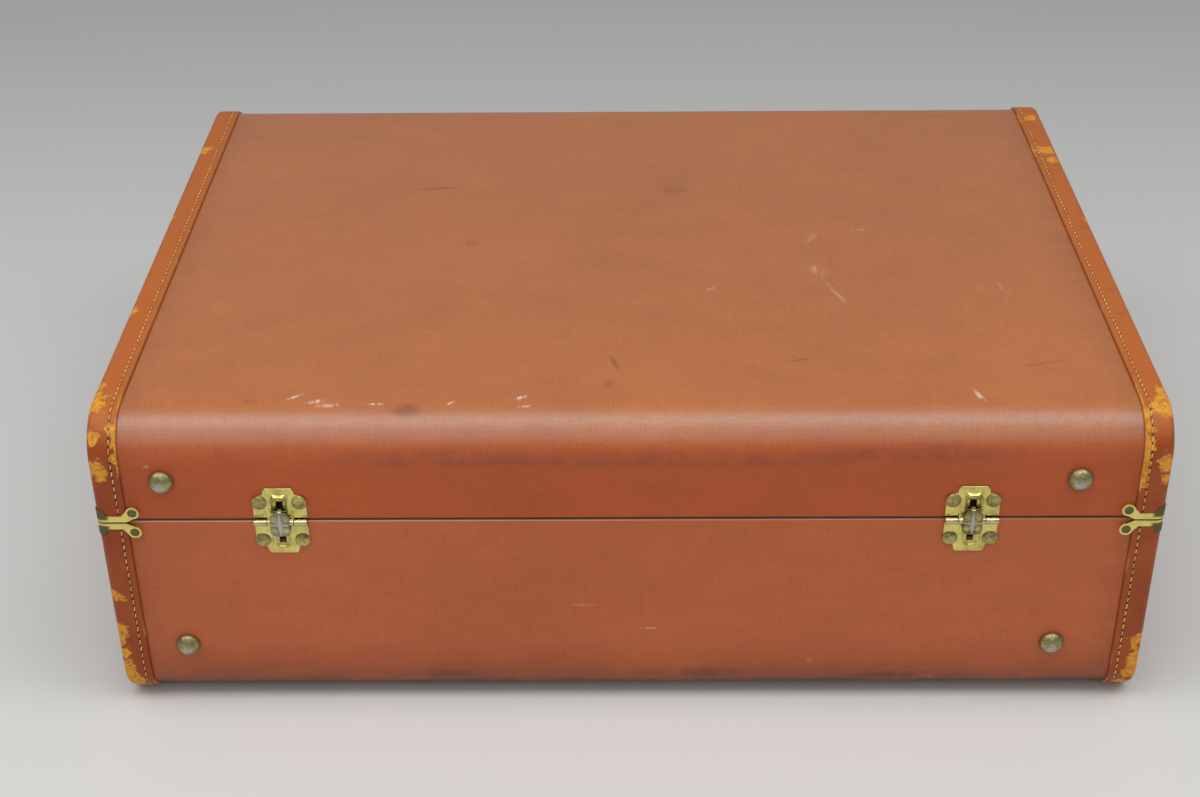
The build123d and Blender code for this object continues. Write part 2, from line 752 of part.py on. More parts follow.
def make_handle():
    """Bail with a leather grip: its bent ends turn in two brackets."""
    barrel_radius = handle_rod_radius + running_clearance + bracket_barrel_wall
    half_barrel = bracket_barrel_length / 2
    bracket = barrel_bracket(
        -1,
        -bracket_height / 2,
        bracket_height,
        bracket_width,
        bracket_thickness,
        handle_axis_out,
        barrel_radius,
        [(-half_barrel, half_barrel)],
    )
    bore = Pos(0, 0, handle_axis_out) * Cylinder(
        handle_rod_radius + running_clearance, 2 * bracket_width, rotation=(0, 90, 0)
    )
    rivet_drop = bracket_rivet_z - handle_axis_z
    plate_hole = Cylinder(rivet_radius + rivet_clearance, 4)
    holes = [Pos(dx, rivet_drop, 0) * plate_hole for dx in plate_rivet_pair]
    for name, side_x in (("left", -1), ("right", 1)):
        place = on_wall(1, side_x * bracket_x, 0, handle_axis_z)
        parts["handle_bracket_" + name] = place * (bracket - bore - holes)
    small = rivet(latch_rivet_head, latch_rivet_height, rivet_radius, bracket_thickness + wall_through)
    parts["handle_bracket_rivets"] = joined(
        on_wall(1, x, bracket_thickness, z) * small for x, z in back_rivet_places["base"]
    )

    y = cover_face + handle_axis_out
    outer_x = bracket_x + half_barrel + handle_end_margin
    leg_x = bracket_x - half_barrel - handle_bend_radius - slide_gap
    low = handle_axis_z - handle_drop
    route = FilletPolyline(
        (-outer_x, y, handle_axis_z),
        (-leg_x, y, handle_axis_z),
        (-leg_x, y, low),
        (leg_x, y, low),
        (leg_x, y, handle_axis_z),
        (outer_x, y, handle_axis_z),
        radius=handle_bend_radius,
    )
    start = Plane(origin=(-outer_x, y, handle_axis_z), z_dir=(1, 0, 0))
    parts["handle_core"] = sweep(start * Circle(handle_rod_radius), path=route)

    def grip_section(x, height):
        shape = SlotOverall(height, grip_thickness) if height > grip_thickness else Circle(height / 2)
        return Plane(origin=(x, y, low), x_dir=(0, 0, 1), z_dir=(1, 0, 0)) * shape

    half_grip = grip_length / 2
    grip = loft(
        [
            grip_section(-half_grip, grip_end_height),
            grip_section(0, grip_middle_height),
            grip_section(half_grip, grip_end_height),
        ]
    )
    core_bore = Pos(0, y, low) * Cylinder(handle_rod_radius, 2 * grip_length, rotation=(0, 90, 0))
    grip = fillet(grip.faces().filter_by(Plane.YZ).edges(), grip_edge_radius)
    parts["handle_grip"] = grip - core_bore
    ferrules = []
    for side_x in (-1, 1):
        ring = Pos(side_x * (half_grip + ferrule_length / 2), y, low) * Cylinder(
            handle_rod_radius + ferrule_wall, ferrule_length, rotation=(0, 90, 0)
        )
        ferrules.append(ring - core_bore)
    parts["handle_ferrules"] = joined(ferrules)


def make_inside():
    """Pocket panel under the lid, and two straps with a slide buckle on the base's floor."""
    top = case_height - inside_lining
    pocket_length = 2 * (lining_end_x - pocket_end_margin)
    pocket_y = -half_width + inside_lining + pocket_hinge_margin + pocket_width / 2
    pocket = Pos(0, pocket_y, top - pocket_thickness / 2) * Box(pocket_length, pocket_width, pocket_thickness)
    pocket = fillet(pocket.edges().filter_by(Axis.Z), pocket_corner_radius)
    parts["lid_pocket"] = fillet(pocket.faces().sort_by(Axis.Z)[0].edges(), pocket_edge_radius)

    floor = inside_lining + strap_gap
    wall_x = lining_end_x - strap_gap
    outer = Pos(0, floor + strap_rise / 2) * Rectangle(2 * wall_x, strap_rise)
    inner = Rectangle(2 * (wall_x - strap_thickness), strap_rise)
    inner = Pos(0, floor + strap_rise / 2 + strap_thickness) * inner
    low = [v for v in outer.vertices() if v.Y < floor + 1]
    outer = fillet(low, strap_bend_radius)
    low = [v for v in inner.vertices() if v.Y < floor + strap_thickness + 1]
    inner = fillet(low, strap_bend_radius - strap_thickness)
    band = extrude(Plane.XZ * (outer - inner), strap_width / 2, both=True)
    end_x = buckle_length / 2 - buckle_rim - buckle_play
    for name, side_x in (("strap_left", -1), ("strap_right", 1)):
        middle = side_x * (end_x + case_length / 2)
        half_space = Box(case_length, strap_width, 2 * strap_rise)
        parts[name] = band & Pos(middle, 0, floor + strap_rise / 2) * half_space
    buckle_z = floor + strap_thickness + strap_gap + buckle_thickness / 2
    frame = RectangleRounded(buckle_length, buckle_height, buckle_corner_radius)
    inside = (buckle_length - 2 * buckle_rim, buckle_height - 2 * buckle_rim)
    window = RectangleRounded(*inside, buckle_corner_radius / 2)
    bar = Rectangle(buckle_rim, buckle_height - buckle_rim)
    plate = extrude(frame - window + bar, buckle_thickness)
    plate = Pos(0, 0, buckle_z - buckle_thickness / 2) * plate
    parts["strap_buckle"] = chamfer(plate.faces().sort_by(Axis.Z)[-1].edges(), buckle_chamfer)
    anchors = []
    stud = Pos(0, 0, anchor_height / 2) * Cylinder(anchor_diameter / 2, anchor_height)
    stud = chamfer(stud.edges().sort_by(Axis.Z)[-1], anchor_chamfer)
    stud += Pos(0, 0, -strap_thickness / 2) * Cylinder(rivet_radius, strap_thickness)
    anchor_z = floor + strap_rise - anchor_diameter
    for side_x in (-1, 1):
        place = Plane(origin=(side_x * (wall_x - strap_thickness), 0, anchor_z), z_dir=(-side_x, 0, 0))
        hole = place * Cylinder(rivet_radius + rivet_clearance, 4 * strap_thickness)
        name = "strap_left" if side_x < 0 else "strap_right"
        parts[name] -= hole
        anchors.append(place * stud)
    parts["strap_anchors"] = joined(anchors)


for half in (lid, base):
    make_half(half)
make_rim()
make_hinges()
make_feet()
make_clips()
make_latches()
make_handle()
make_inside()

os.makedirs("parts", exist_ok=True)
for name, shape in parts.items():
    export_step(shape, "parts/" + name + ".step")
    print(name, round(shape.volume))
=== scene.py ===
import math

import bmesh
import bpy
import numpy as np
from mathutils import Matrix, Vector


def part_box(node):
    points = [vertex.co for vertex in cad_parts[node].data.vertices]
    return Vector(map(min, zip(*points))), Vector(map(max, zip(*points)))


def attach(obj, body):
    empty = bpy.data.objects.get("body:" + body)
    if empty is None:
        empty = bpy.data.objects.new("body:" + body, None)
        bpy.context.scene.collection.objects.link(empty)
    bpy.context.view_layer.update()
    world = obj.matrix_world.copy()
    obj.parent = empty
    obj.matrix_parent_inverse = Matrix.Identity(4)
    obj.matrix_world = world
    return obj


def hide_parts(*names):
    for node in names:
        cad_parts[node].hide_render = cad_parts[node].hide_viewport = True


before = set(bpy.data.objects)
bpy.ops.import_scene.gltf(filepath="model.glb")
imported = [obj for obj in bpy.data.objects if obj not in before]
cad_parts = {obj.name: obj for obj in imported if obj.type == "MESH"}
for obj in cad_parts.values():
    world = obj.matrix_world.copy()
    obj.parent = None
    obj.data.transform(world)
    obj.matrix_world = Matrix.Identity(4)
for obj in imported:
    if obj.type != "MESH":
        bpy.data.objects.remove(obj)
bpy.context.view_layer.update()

print("frame loaded with", len(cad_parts), "nodes")

mm = 0.001
rng = np.random.default_rng(24)

lidStripLow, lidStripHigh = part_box("lid_binding_right")
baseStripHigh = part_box("base_binding_right")[1]
caseForm = {
    "halfLength": baseStripHigh.x,
    "halfWidth": baseStripHigh.y,
    "coverFace": baseStripHigh.y - 1.8 * mm,   # cloth on the long walls, under the bindings
}
halves = {
    "lid": {"seam": lidStripLow.z, "far": lidStripHigh.z, "up": 1, "radius": 27.5 * mm, "rows": 16},
    "base": {"seam": baseStripHigh.z, "far": 0.0, "up": -1, "radius": 25.0 * mm, "rows": 34},
}
# Rows of an edge path: fine ones next to the seam, then coarse, along its rounded edge, across half its flat
pathSteps = {"fine": 1.0 * mm, "coarse": 1.6 * mm, "arc": 20, "flat": 46}

pins = {name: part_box("hinge_" + name + "_pin") for name in ("left", "right")}
hingeX = {name: (low.x + high.x) / 2 for name, (low, high) in pins.items()}
axisHeight = (pins["left"][0].z + pins["left"][1].z) / 2
axisOut = -(pins["left"][0].y + pins["left"][1].y) / 2 - caseForm["coverFace"]


# Surfaces on grids

def stacked(*parts):
    # the parts, spread to one shape, as the last axis of one array
    return np.stack(np.broadcast_arrays(*parts), -1)


def evenTurn(count):
    # so many even steps round a circle
    return np.arange(count) * 2 * np.pi / count


def gridFaces(rows, cols, closeRows=False, closeCols=False):
    # quads between neighbouring rows and columns; a closed way joins its last to its first
    r = np.arange(rows if closeRows else rows - 1)[:, None]
    c = np.arange(cols if closeCols else cols - 1)
    nextRow, nextCol = (r + 1) % rows, (c + 1) % cols
    corners = stacked(r * cols + c, r * cols + nextCol, nextRow * cols + nextCol, nextRow * cols + c)
    return corners.reshape(-1, 4)


def closedBand(outer, inner):
    # outer and inner surface on one grid, joined along all four sides
    loops = np.concatenate([outer, inner[:, ::-1]], axis=1)
    rows, cols = loops.shape[:2]
    i = np.arange(outer.shape[1] - 1)
    cap = stacked(i, i + 1, cols - 2 - i, cols - 1 - i)
    faces = [gridFaces(rows, cols, closeCols=True), cap[:, ::-1], cap + (rows - 1) * cols]
    return loops.reshape(-1, 3), np.concatenate(faces)


def joinGrids(grids):
    # several point and face arrays as one
    points, faces = zip(*grids)
    counts = np.cumsum([0] + [len(one) for one in points[:-1]])
    return np.concatenate(points), np.concatenate([one + n for one, n in zip(faces, counts)])


def bothFaces(values):
    # values on the outer surface of a closed band, and the same again in reverse for its inner surface
    return np.concatenate([values, values[:, ::-1]], 1)


def wayAlong(line):
    # distance from the first point to each point; the points follow each other on the first axis
    steps = np.linalg.norm(np.diff(line, axis=0), axis=-1)
    return np.concatenate([np.zeros_like(steps[:1]), np.cumsum(steps, axis=0)])


def unit(vectors):
    return vectors / np.linalg.norm(vectors, axis=-1, keepdims=True)


def mirrored(right):
    # outline from the points of its right half
    return np.array(right + [(-a, b) for a, b in right[::-1]])


def fanAngles(corners, count):
    # directions of the corners and even steps between them, in order
    even = np.linspace(-np.pi, np.pi, count + 1)[:-1]
    return np.sort(np.concatenate([np.arctan2(corners[:, 1], corners[:, 0]), even]))


def ringSolid(x, y, top, bottom, closeRows=False):
    # rings at the top, then the same rings at the bottom in reverse
    points = np.concatenate([stacked(x, y, top), stacked(x, y, bottom)[::-1]])
    return points.reshape(-1, 3), gridFaces(len(points), x.shape[1], closeRows=closeRows, closeCols=True)


def signedVolume(points, quads):
    # sum of the tetrahedra from the origin to each quad's triangles: negative when faces point inwards
    a, b, c, d = (points[quads[:, k]] for k in range(4))
    one = np.einsum("ij,ij->i", a, np.cross(b, c))
    two = np.einsum("ij,ij->i", a, np.cross(c, d))
    return (one + two).sum() / 6


def linked(name, data):
    thing = bpy.data.objects.new(name, data)
    bpy.context.scene.collection.objects.link(thing)
    return thing


def assigned(name, mesh, finish, body, replaces):
    # the mesh as a piece that rides on its body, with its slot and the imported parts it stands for
    mesh.materials.append(finish)
    piece = linked(name, mesh)
    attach(piece, body)
    if replaces:
        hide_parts(*replaces)
    return piece


def smoothFaces(mesh):
    mesh.polygons.foreach_set("use_smooth", np.ones(len(mesh.polygons), bool))


def addPiece(name, points, quads, finish, body, uv=None, weights=None, replaces=(), merge=0.0,
             sharp=38):
    points = points.reshape(-1, 3)
    centred = points - points.mean(0)
    if signedVolume(centred, quads) < 0:
        quads = quads[:, ::-1]
    mesh = bpy.data.meshes.new(name)
    mesh.from_pydata(points.tolist(), [], quads.tolist())
    if uv is not None:
        corner = np.empty(len(mesh.loops), np.int32)
        mesh.loops.foreach_get("vertex_index", corner)
        layer = mesh.uv_layers.new(name="UVMap")
        layer.data.foreach_set("uv", uv.reshape(-1, 2)[corner].astype(np.float32).ravel())
    for key, values in (weights or {}).items():
        layer = mesh.attributes.new(key, "FLOAT", "POINT")
        layer.data.foreach_set("value", values.astype(np.float32).ravel())
    if merge:
        work = bmesh.new()
        work.from_mesh(mesh)
        bmesh.ops.remove_doubles(work, verts=work.verts, dist=merge)
        work.to_mesh(mesh)
        work.free()
    smoothFaces(mesh)
    mesh.set_sharp_from_angle(angle=math.radians(sharp))
    return assigned(name, mesh, finish, body, replaces)


def softened(node, name, width, finish, body):
    # copy of a packed brass part with doubles merged, flat faces joined and its edges slightly rounded
    work = bmesh.new()
    work.from_mesh(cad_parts[node].data)
    bmesh.ops.remove_doubles(work, verts=work.verts, dist=0.004 * mm)
    bmesh.ops.dissolve_limit(work, angle_limit=math.radians(0.8), verts=work.verts, edges=work.edges)
    mesh = bpy.data.meshes.new(name)
    work.to_mesh(mesh)
    work.free()
    smoothFaces(mesh)
    piece = assigned(name, mesh, finish, body, [node])
    bevel = piece.modifiers.new("edges", "BEVEL")
    bevel.width = width
    bevel.segments = 2
    bevel.limit_method = "ANGLE"
    bevel.angle_limit = math.radians(32)
    bevel.harden_normals = True


def edgeDrop(distance, radius):
    # how far a rounded edge lies below its surface, at a distance from the edge: a quarter circle
    short = np.clip(radius - distance, 0, radius)
    return radius - np.sqrt(radius ** 2 - short ** 2)


def smoothStep(low, high, value):
    t = np.clip((value - low) / (high - low), 0, 1)
    return t * t * (3 - 2 * t)


def bell(value, middle, width):
    # 1 at the middle, falling smoothly to 0 on both sides
    return np.exp(-((value - middle) / width) ** 2)


# Shader arithmetic

class Wire:
    # an output socket that takes part in plain arithmetic
    def __init__(self, finish, socket):
        self.finish = finish
        self.socket = socket

    def calc(self, operation, *others):
        values = dict(enumerate((self,) + others))
        return self.finish.put("Math", {"operation": operation}, values)

    def __add__(self, other):
        return self.calc("ADD", other)

    def __mul__(self, other):
        return self.calc("MULTIPLY", other)

    __radd__, __rmul__ = __add__, __mul__

    def __sub__(self, other):
        return self.calc("SUBTRACT", other)

    def __rsub__(self, other):
        return self.finish.put("Math", {"operation": "SUBTRACT"}, {0: other, 1: self})

    def __truediv__(self, other):
        return self.calc("DIVIDE", other)

    def __abs__(self):
        return self.calc("ABSOLUTE")

    def step(self, low, high):
        # 0 below low, 1 above high, smooth between; low may be the larger
        settings = {"interpolation_type": "SMOOTHSTEP", "clamp": True}
        return self.finish.put("MapRange", settings, {"Value": self, "From Min": low, "From Max": high})


class Finish:
    # a material and the short calls that add its nodes
    def __init__(self, name):
        self.material = bpy.data.materials.new(name)
        self.material.use_nodes = True
        self.tree = self.material.node_tree
        self.tree.nodes.clear()

    def put(self, kind, settings=None, inputs=None, out=0):
        node = self.tree.nodes.new("ShaderNode" + kind)
        for key, value in (settings or {}).items():
            setattr(node, key, value)
        for key, value in (inputs or {}).items():
            if isinstance(value, Wire):
                self.tree.links.new(value.socket, node.inputs[key])
            else:
                node.inputs[key].default_value = value
        return Wire(self, node.outputs[out])

    def place(self):
        return self.put("TexCoord", out=3)

    def uv(self):
        return self.put("TexCoord", out=2)

    def weight(self, name):
        return self.put("Attribute", {"attribute_name": name}, out=2)

    def parts(self, vector):
        split = self.put("SeparateXYZ", None, {0: vector})
        return [Wire(self, socket) for socket in split.socket.node.outputs]

    def stretched(self, vector, scale, turn=(0, 0, 0)):
        return self.put("Mapping", None, {0: vector, 2: turn, 3: scale})

    def noise(self, vector, scale, detail=3.0, rough=0.55, warp=0.0):
        values = {"Vector": vector, "Scale": scale, "Detail": detail, "Roughness": rough,
                  "Distortion": warp}
        return self.put("TexNoise", None, values)

    def cells(self, vector, scale):
        return self.put("TexVoronoi", {"feature": "DISTANCE_TO_EDGE"}, {"Vector": vector, "Scale": scale})

    def blend(self, factor, one, two, mode="MIX"):
        settings = {"data_type": "RGBA", "blend_type": mode}
        return self.put("Mix", settings, {0: factor, 6: colour(one), 7: colour(two)}, out=2)

    def spot(self, vector, mark):
        # 1 at the middle of an ellipsoid, falling to 0 at its surface
        centre, radii = (tuple(a * mm for a in mark[k:k + 3]) for k in (0, 3))
        values = {0: vector, 1: centre, 2: (0, 0, mark[6]), 3: radii}
        local = self.put("Mapping", {"vector_type": "TEXTURE"}, values)
        far = self.put("VectorMath", {"operation": "LENGTH"}, {0: local}, out=1)
        return far.step(1.0, 0.25)

    def bump(self, height, depth, strength=1.0, normal=None):
        values = {"Height": height, "Distance": depth, "Strength": strength}
        if normal is not None:
            values["Normal"] = normal
        return self.put("Bump", None, values)

    def surface(self, settings):
        shader = self.put("BsdfPrincipled", None, settings)
        output = self.tree.nodes.new("ShaderNodeOutputMaterial")
        self.tree.links.new(shader.socket, output.inputs[0])
        return self.material


def colour(value):
    return value if isinstance(value, Wire) else (*value, 1.0)


# Materials

clothLook = {
    "top": (0.498, 0.143, 0.028),      # faded tan of the upper face
    "lidWall": (0.465, 0.084, 0.014),  # redder walls
    "baseWall": (0.510, 0.119, 0.033),
    "rubbed": (0.360, 0.180, 0.115),   # painted highlight: pale pink along the lid's upper edge
    "dirtAndShade": (0.130, 0.040, 0.022),
    "shadow": (0.016, 0.008, 0.006),   # lower edge of the lid, in the seam
    "chalkAndHighlight": (0.80, 0.62, 0.50),
    "thread": 0.62 * mm,               # weave under the coating
    # heights over which one tone goes to the next
    "baseToLid": (0.1328, 0.1340), "fade": (0.177, 0.194), "lowShade": (0.050, 0.0),
    "darkerFoot": (0.022, 0.002), "darkerLow": (0.050, 0.012),
    "polishWall": (0.165, 0.186), "polishUp": (0.166, 0.190), "polishDown": (0.19985, 0.1985),
    "bandUp": (0.1780, 0.1955), "bandDown": (0.2000, 0.1930),
    "lidEdgeUp": (0.1336, 0.1337), "lidEdgeDown": (0.1353, 0.1345),
    "baseEdgeUp": (0.13225, 0.13250), "baseEdgeDown": (0.13320, 0.13295),
    # and places along the case
    "underBinding": (0.2872, 0.2878), "endShade": (0.268, 0.288), "seamHighlightLeft": (0.32, -0.22),
    "polishLeft": (0.05, -0.22),
}
# Marks, each as centre and radii in millimetres and its turn in radians:
# scuffs are pale, smudges dark; the fainter wide marks darken the lid wall just under its rounded edge, and
# one spot on the top
scuffs = [
    (-178, -201, 200, 9, 3, 6, 0.3), (-170, -204.5, 200, 10, 2.6, 6, 0.1), (-190, -196, 200, 7.5, 2, 6, 0.6),
    (-144, -203.5, 200, 8, 1.4, 6, 0), (-101, -203, 200, 5, 1.4, 6, 0.7),
    (-61, -197.5, 200, 6.5, 2.4, 6, 0.55), (-59, -206, 199, 5.5, 1.4, 6, 0.1),
    (198.6, -197.5, 200, 2.2, 12, 6, 0.35),
]
faintScuffs = [
    (120.5, -46.5, 200, 7, 12, 6, 0.3), (120.6, -0.7, 200, 3.5, 12, 6, -0.5),
    (129, -75, 200, 2.2, 30, 6, 0.35), (51.9, -69.6, 200, 6, 2.2, 6, 0.7),
    (232.1, -76.4, 200, 1.1, 22, 6, 0.05), (152, 10, 200, 10, 2.2, 6, 0.15),
    (-27.2, -226, 71.5, 10, 10, 1.4, 0), (12.3, -226, 54.2, 8, 10, 1.2, 0),
    (-205, -150, 200, 2.2, 2.2, 6, 0), (-272.5, -226.8, 170.5, 2.4, 10, 1.4, 0),
    (108, -226.2, 30, 2.8, 10, 2.2, 0),
]
smudges = [
    (-215, -203, 199.7, 7, 7, 7, 0), (-126, -208.9, 198.5, 13, 8.5, 7, 0),
    (-11.2, -182.9, 200, 4.5, 6, 6, 0), (-8, -160, 200, 2.5, 14, 6, 0.3), (-101, -5.6, 200, 9, 9, 6, 0),
    (-130.2, 75.7, 200, 22, 3.5, 6, 0.12), (100.2, -156.8, 200, 10, 1.4, 6, 0.2),
    (245, -161.3, 200, 24, 1.6, 6, 0.25), (42.5, -224.5, 20, 55, 20, 6, 0),
    (-120, -224.5, 19, 40, 20, 5.5, 0), (170, -224.5, 17, 60, 20, 5, 0),
]
wideDarkMarks = [
    (20, -226.5, 174, 170, 12, 8.5, 0), (170, -226.5, 177.5, 90, 12, 8.5, 0.03),
    (-120, -226.5, 175, 90, 12, 8, -0.02), (34, 72, 200, 14, 12, 6, 0),
]


def coatedCloth(name, onEnds=False):
    # tan over red by height, times slow and fine noise; marks laid over it; painted highlights along the
    # lid's upper edge and the base's seam edge; bump = weave + threads + grain; the coat is polished along
    # the lid's upper edge, in specks
    look = clothLook
    f = Finish(name)
    place = f.place()
    x, y, z = f.parts(place)
    sheet = f.put("CombineXYZ", None, {0: y, 1: z}) if onEnds else f.uv()
    u, v = f.parts(sheet)[:2]
    pitch = 2 * math.pi / look["thread"]
    weave = (u * pitch).calc("SINE") * (v * pitch).calc("SINE")
    warpLines = f.noise(f.stretched(sheet, scale=(820, 55, 1)), 1.0, 2.0)
    weftLines = f.noise(f.stretched(sheet, scale=(55, 820, 1)), 1.0, 2.0)
    grain = f.noise(place, 900, 3.0)
    slow = f.noise(place, 7.5, 4.0, 0.6)
    fine = f.noise(place, 160, 3.0, 0.7)
    walls = f.blend(z.step(*look["baseToLid"]), look["baseWall"], look["lidWall"])
    base = f.blend(z.step(*look["fade"]), walls, look["top"])
    linen = f.noise(place, 620, 2.0, 0.6).step(0.30, 0.72) * 0.5 + warpLines * 0.35 + weftLines * 0.35
    # painted highlight: the lid's rounded upper edge is mixed towards a pale pink, mottled by the linen
    # noise
    highlightBand = z.step(*look["bandUp"]) * z.step(*look["bandDown"])
    base = f.blend(highlightBand * (linen * 0.55 + 0.22), base, look["rubbed"])
    cloudy = f.noise(f.stretched(place, scale=(22, 40, 60)), 1.0, 5.0, 0.6)
    shade = slow * 0.30 + cloudy * 0.22 + fine * 0.14 + warpLines * 0.20 + weftLines * 0.20 + 0.47
    shade = shade - z.step(*look["lowShade"]) * 0.38 - abs(x).step(*look["endShade"]) * 0.10
    base = f.blend(1.0, base, f.put("CombineColor", None, {0: shade, 1: shade, 2: shade}), "MULTIPLY")
    rubbed = f.noise(place, 38, 5.0, 0.7)
    # darker towards the bottom
    dark = z.step(*look["darkerFoot"]) * 0.60 + z.step(*look["darkerLow"]) * 0.22
    for marks, strength in ((smudges, 0.55), (wideDarkMarks, 0.32)):
        for mark in marks:
            dark = dark + f.spot(place, mark) * strength
    specks = f.noise(place, 55, 6.0, 0.75).step(0.66, 0.74) * 0.30
    dark = ((dark + specks) * rubbed.step(0.30, 0.62)).calc("MINIMUM", 0.85)
    # painted shade and dirt: dark in a thin line along the bindings' inner edges and on the cloth under them
    dark = dark.calc("MAXIMUM", abs(x).step(*look["underBinding"]) * 0.75)
    base = f.blend(dark, base, look["dirtAndShade"])
    base = f.blend(z.step(*look["lidEdgeUp"]) * z.step(*look["lidEdgeDown"]), base, look["shadow"])
    pale = f.noise(place, 47, 5.0, 0.8).step(0.715, 0.76) * 0.16
    # painted highlight: a pale line along the rounded top edge of the base cloth at the seam, stronger to
    # the left, mixed in with the pale marks
    seamHighlight = x.step(*look["seamHighlightLeft"]) * 0.26 + slow * 0.18
    pale = pale + z.step(*look["baseEdgeUp"]) * z.step(*look["baseEdgeDown"]) * seamHighlight
    streak = f.noise(f.stretched(place, scale=(380, 110, 240)), 1.0, 4.0, 0.8).step(0.44, 0.56)
    for marks, strength in ((scuffs, 0.90), (faintScuffs, 0.32)):
        for mark in marks:
            pale = pale + f.spot(place, mark) * streak * strength
    base = f.blend(pale.calc("MINIMUM", 0.85), base, look["chalkAndHighlight"])
    rough = 0.30 + slow * 0.14 + dark * 0.15 + pale * 0.2 + fine * 0.06
    height = weave * 0.5 + warpLines * 1.1 + weftLines * 1.1 + grain * 0.9
    normal = f.bump(height, 0.045 * mm, 0.62)
    normal = f.bump(f.noise(place, 24, 3.0), 0.5 * mm, 0.10, normal)
    polished = z.step(*look["polishDown"]) * z.step(*look["polishUp"])
    polished = z.step(*look["polishWall"]) * 0.22 + polished * 0.62 + 0.07
    polished = polished * (x.step(*look["polishLeft"]) * 0.25 + 1.0)
    coat = (polished * (linen * 1.35 + 0.15)).calc("MINIMUM", 1.0)
    return f.surface({"Base Color": base, "Roughness": rough, "Normal": normal, "Specular IOR Level": 0.34,
                      "Coat Weight": coat, "Coat Roughness": 0.33})


leatherLook = {
    "skin": (0.305, 0.053, 0.010),
    "skinPale": (0.415, 0.092, 0.016),
    "skinDark": (0.120, 0.020, 0.006),
    "fadedAndSheen": (0.530, 0.145, 0.027),    # paler top: sun-bleached, and painted sheen
    "raw": (0.780, 0.350, 0.040),
    "rawDark": (0.480, 0.160, 0.020),
    "hole": (0.020, 0.008, 0.006),
    "bleachAndSheen": (0.180, 0.199), "paleHoles": (0.185, 0.199),   # heights
    "rim": (1.1 * mm, 0.5 * mm), "trench": (1.3 * mm, 0.4 * mm), "needle": (0.62 * mm, 0.40 * mm),
    "stitchPitch": 5.0 * mm,
    "stitchIn": 4.0 * mm,              # from each cut edge of the strip to its stitches
    "across": 13.0 * 2 * mm + 2.0 * math.pi * mm,
}


def bindingLeather(name):
    # red-brown skin with noise, raw hide where worn and along cut edges, a needle hole between stitches
    look = leatherLook
    f = Finish(name)
    place = f.place()
    z = f.parts(place)[2]
    along, across = f.parts(f.uv())[:2]
    slow = f.noise(place, 16, 4.0, 0.62)
    fine = f.noise(place, 240, 3.0, 0.7)
    base = f.blend(slow.step(0.35, 0.75), look["skin"], look["skinPale"])
    # paler on the top: sun-bleached, and painted sheen
    base = f.blend(z.step(*look["bleachAndSheen"]) * 0.85, base, look["fadedAndSheen"])
    base = f.blend(f.noise(place, 70, 5.0, 0.7).step(0.58, 0.76) * 0.45, base, look["skinDark"])
    base = f.blend(fine.step(0.56, 0.80) * 0.30, base, look["skinDark"])
    edge = across.calc("MINIMUM", look["across"] - across)
    worn = f.weight("worn")
    broad = f.noise(place, 95, 4.0, 0.65, 0.5) - 0.5
    ragged = f.noise(place, 420, 6.0, 0.75, 0.4) - 0.5
    raw = (worn * 0.95 + broad * 1.7 + ragged * 0.95).step(0.55, 0.63)
    rim = edge.step(*look["rim"]) * (worn + f.noise(place, 45, 4.0) - 0.5).step(0.05, 0.25)
    raw = raw.calc("MAXIMUM", rim * 0.9)
    rawColour = f.blend(f.noise(place, 300, 4.0, 0.8).step(0.40, 0.70), look["raw"], look["rawDark"])
    base = f.blend(raw, base, rawColour)
    phase = (along / look["stitchPitch"]).calc("FRACT") - 0.5
    reach = (abs(phase) - 0.5) * look["stitchPitch"]
    off = abs(edge - look["stitchIn"])
    hole = (reach * reach + off * off).calc("SQRT").step(*look["needle"])
    hole = hole * (1.0 - z.step(*look["paleHoles"]) * 0.5)   # less seen on the bleached top
    trench = off.step(*look["trench"])
    base = f.blend(trench * 0.28, base, look["skinDark"])
    base = f.blend(hole * 0.96, base, look["hole"])
    grainy = f.cells(place, 950)
    creases = f.noise(f.stretched(place, scale=(90, 90, 90)), 1.0, 6.0, 0.7, 1.2)
    rough = 0.36 + slow * 0.12 + raw * 0.34 + hole * 0.3
    normal = f.bump(grainy.step(0.0, 0.30) * 0.5 + creases, 0.06 * mm, 0.5)
    normal = f.bump(0.0 - raw - hole * 3.0, 0.12 * mm, 0.8, normal)
    return f.surface({"Base Color": base, "Roughness": rough, "Normal": normal, "Specular IOR Level": 0.24,
                      "Coat Weight": 0.04, "Coat Roughness": 0.35})


threadLook = {"pale": (0.85, 0.53, 0.16), "dark": (0.57, 0.27, 0.06)}


def waxedThread(name):
    # tone of each stitch, dirt by noise, and the slanting ply as bump
    f = Finish(name)
    along, around = f.parts(f.uv())[:2]
    tone = f.weight("tone") * 0.6 + f.noise(f.place(), 420, 3.0) * 0.5
    base = f.blend(tone.step(0.22, 0.95), threadLook["pale"], threadLook["dark"])
    ply = (along * 5200.0 + around * 6.283).calc("SINE")
    return f.surface({"Base Color": base, "Roughness": 0.62, "Normal": f.bump(ply, 0.05 * mm, 0.5)})


brassLook = {
    "bright": (0.82, 0.71, 0.21),
    "dull": (0.46, 0.39, 0.13),
    "stainAndShade": (0.080, 0.066, 0.030),
    "nickelAndShade": (0.50, 0.49, 0.46),
}
clipMarks = {"seam": 0.1334, "rivetX": 284.0 * mm, "rivetRise": 6.6 * mm, "ring": 2.75 * mm,
             "outer": (0.2968, 0.3000), "offSeam": (0.0012, 0.0030), "atSeam": (0.0013, 0.0008)}


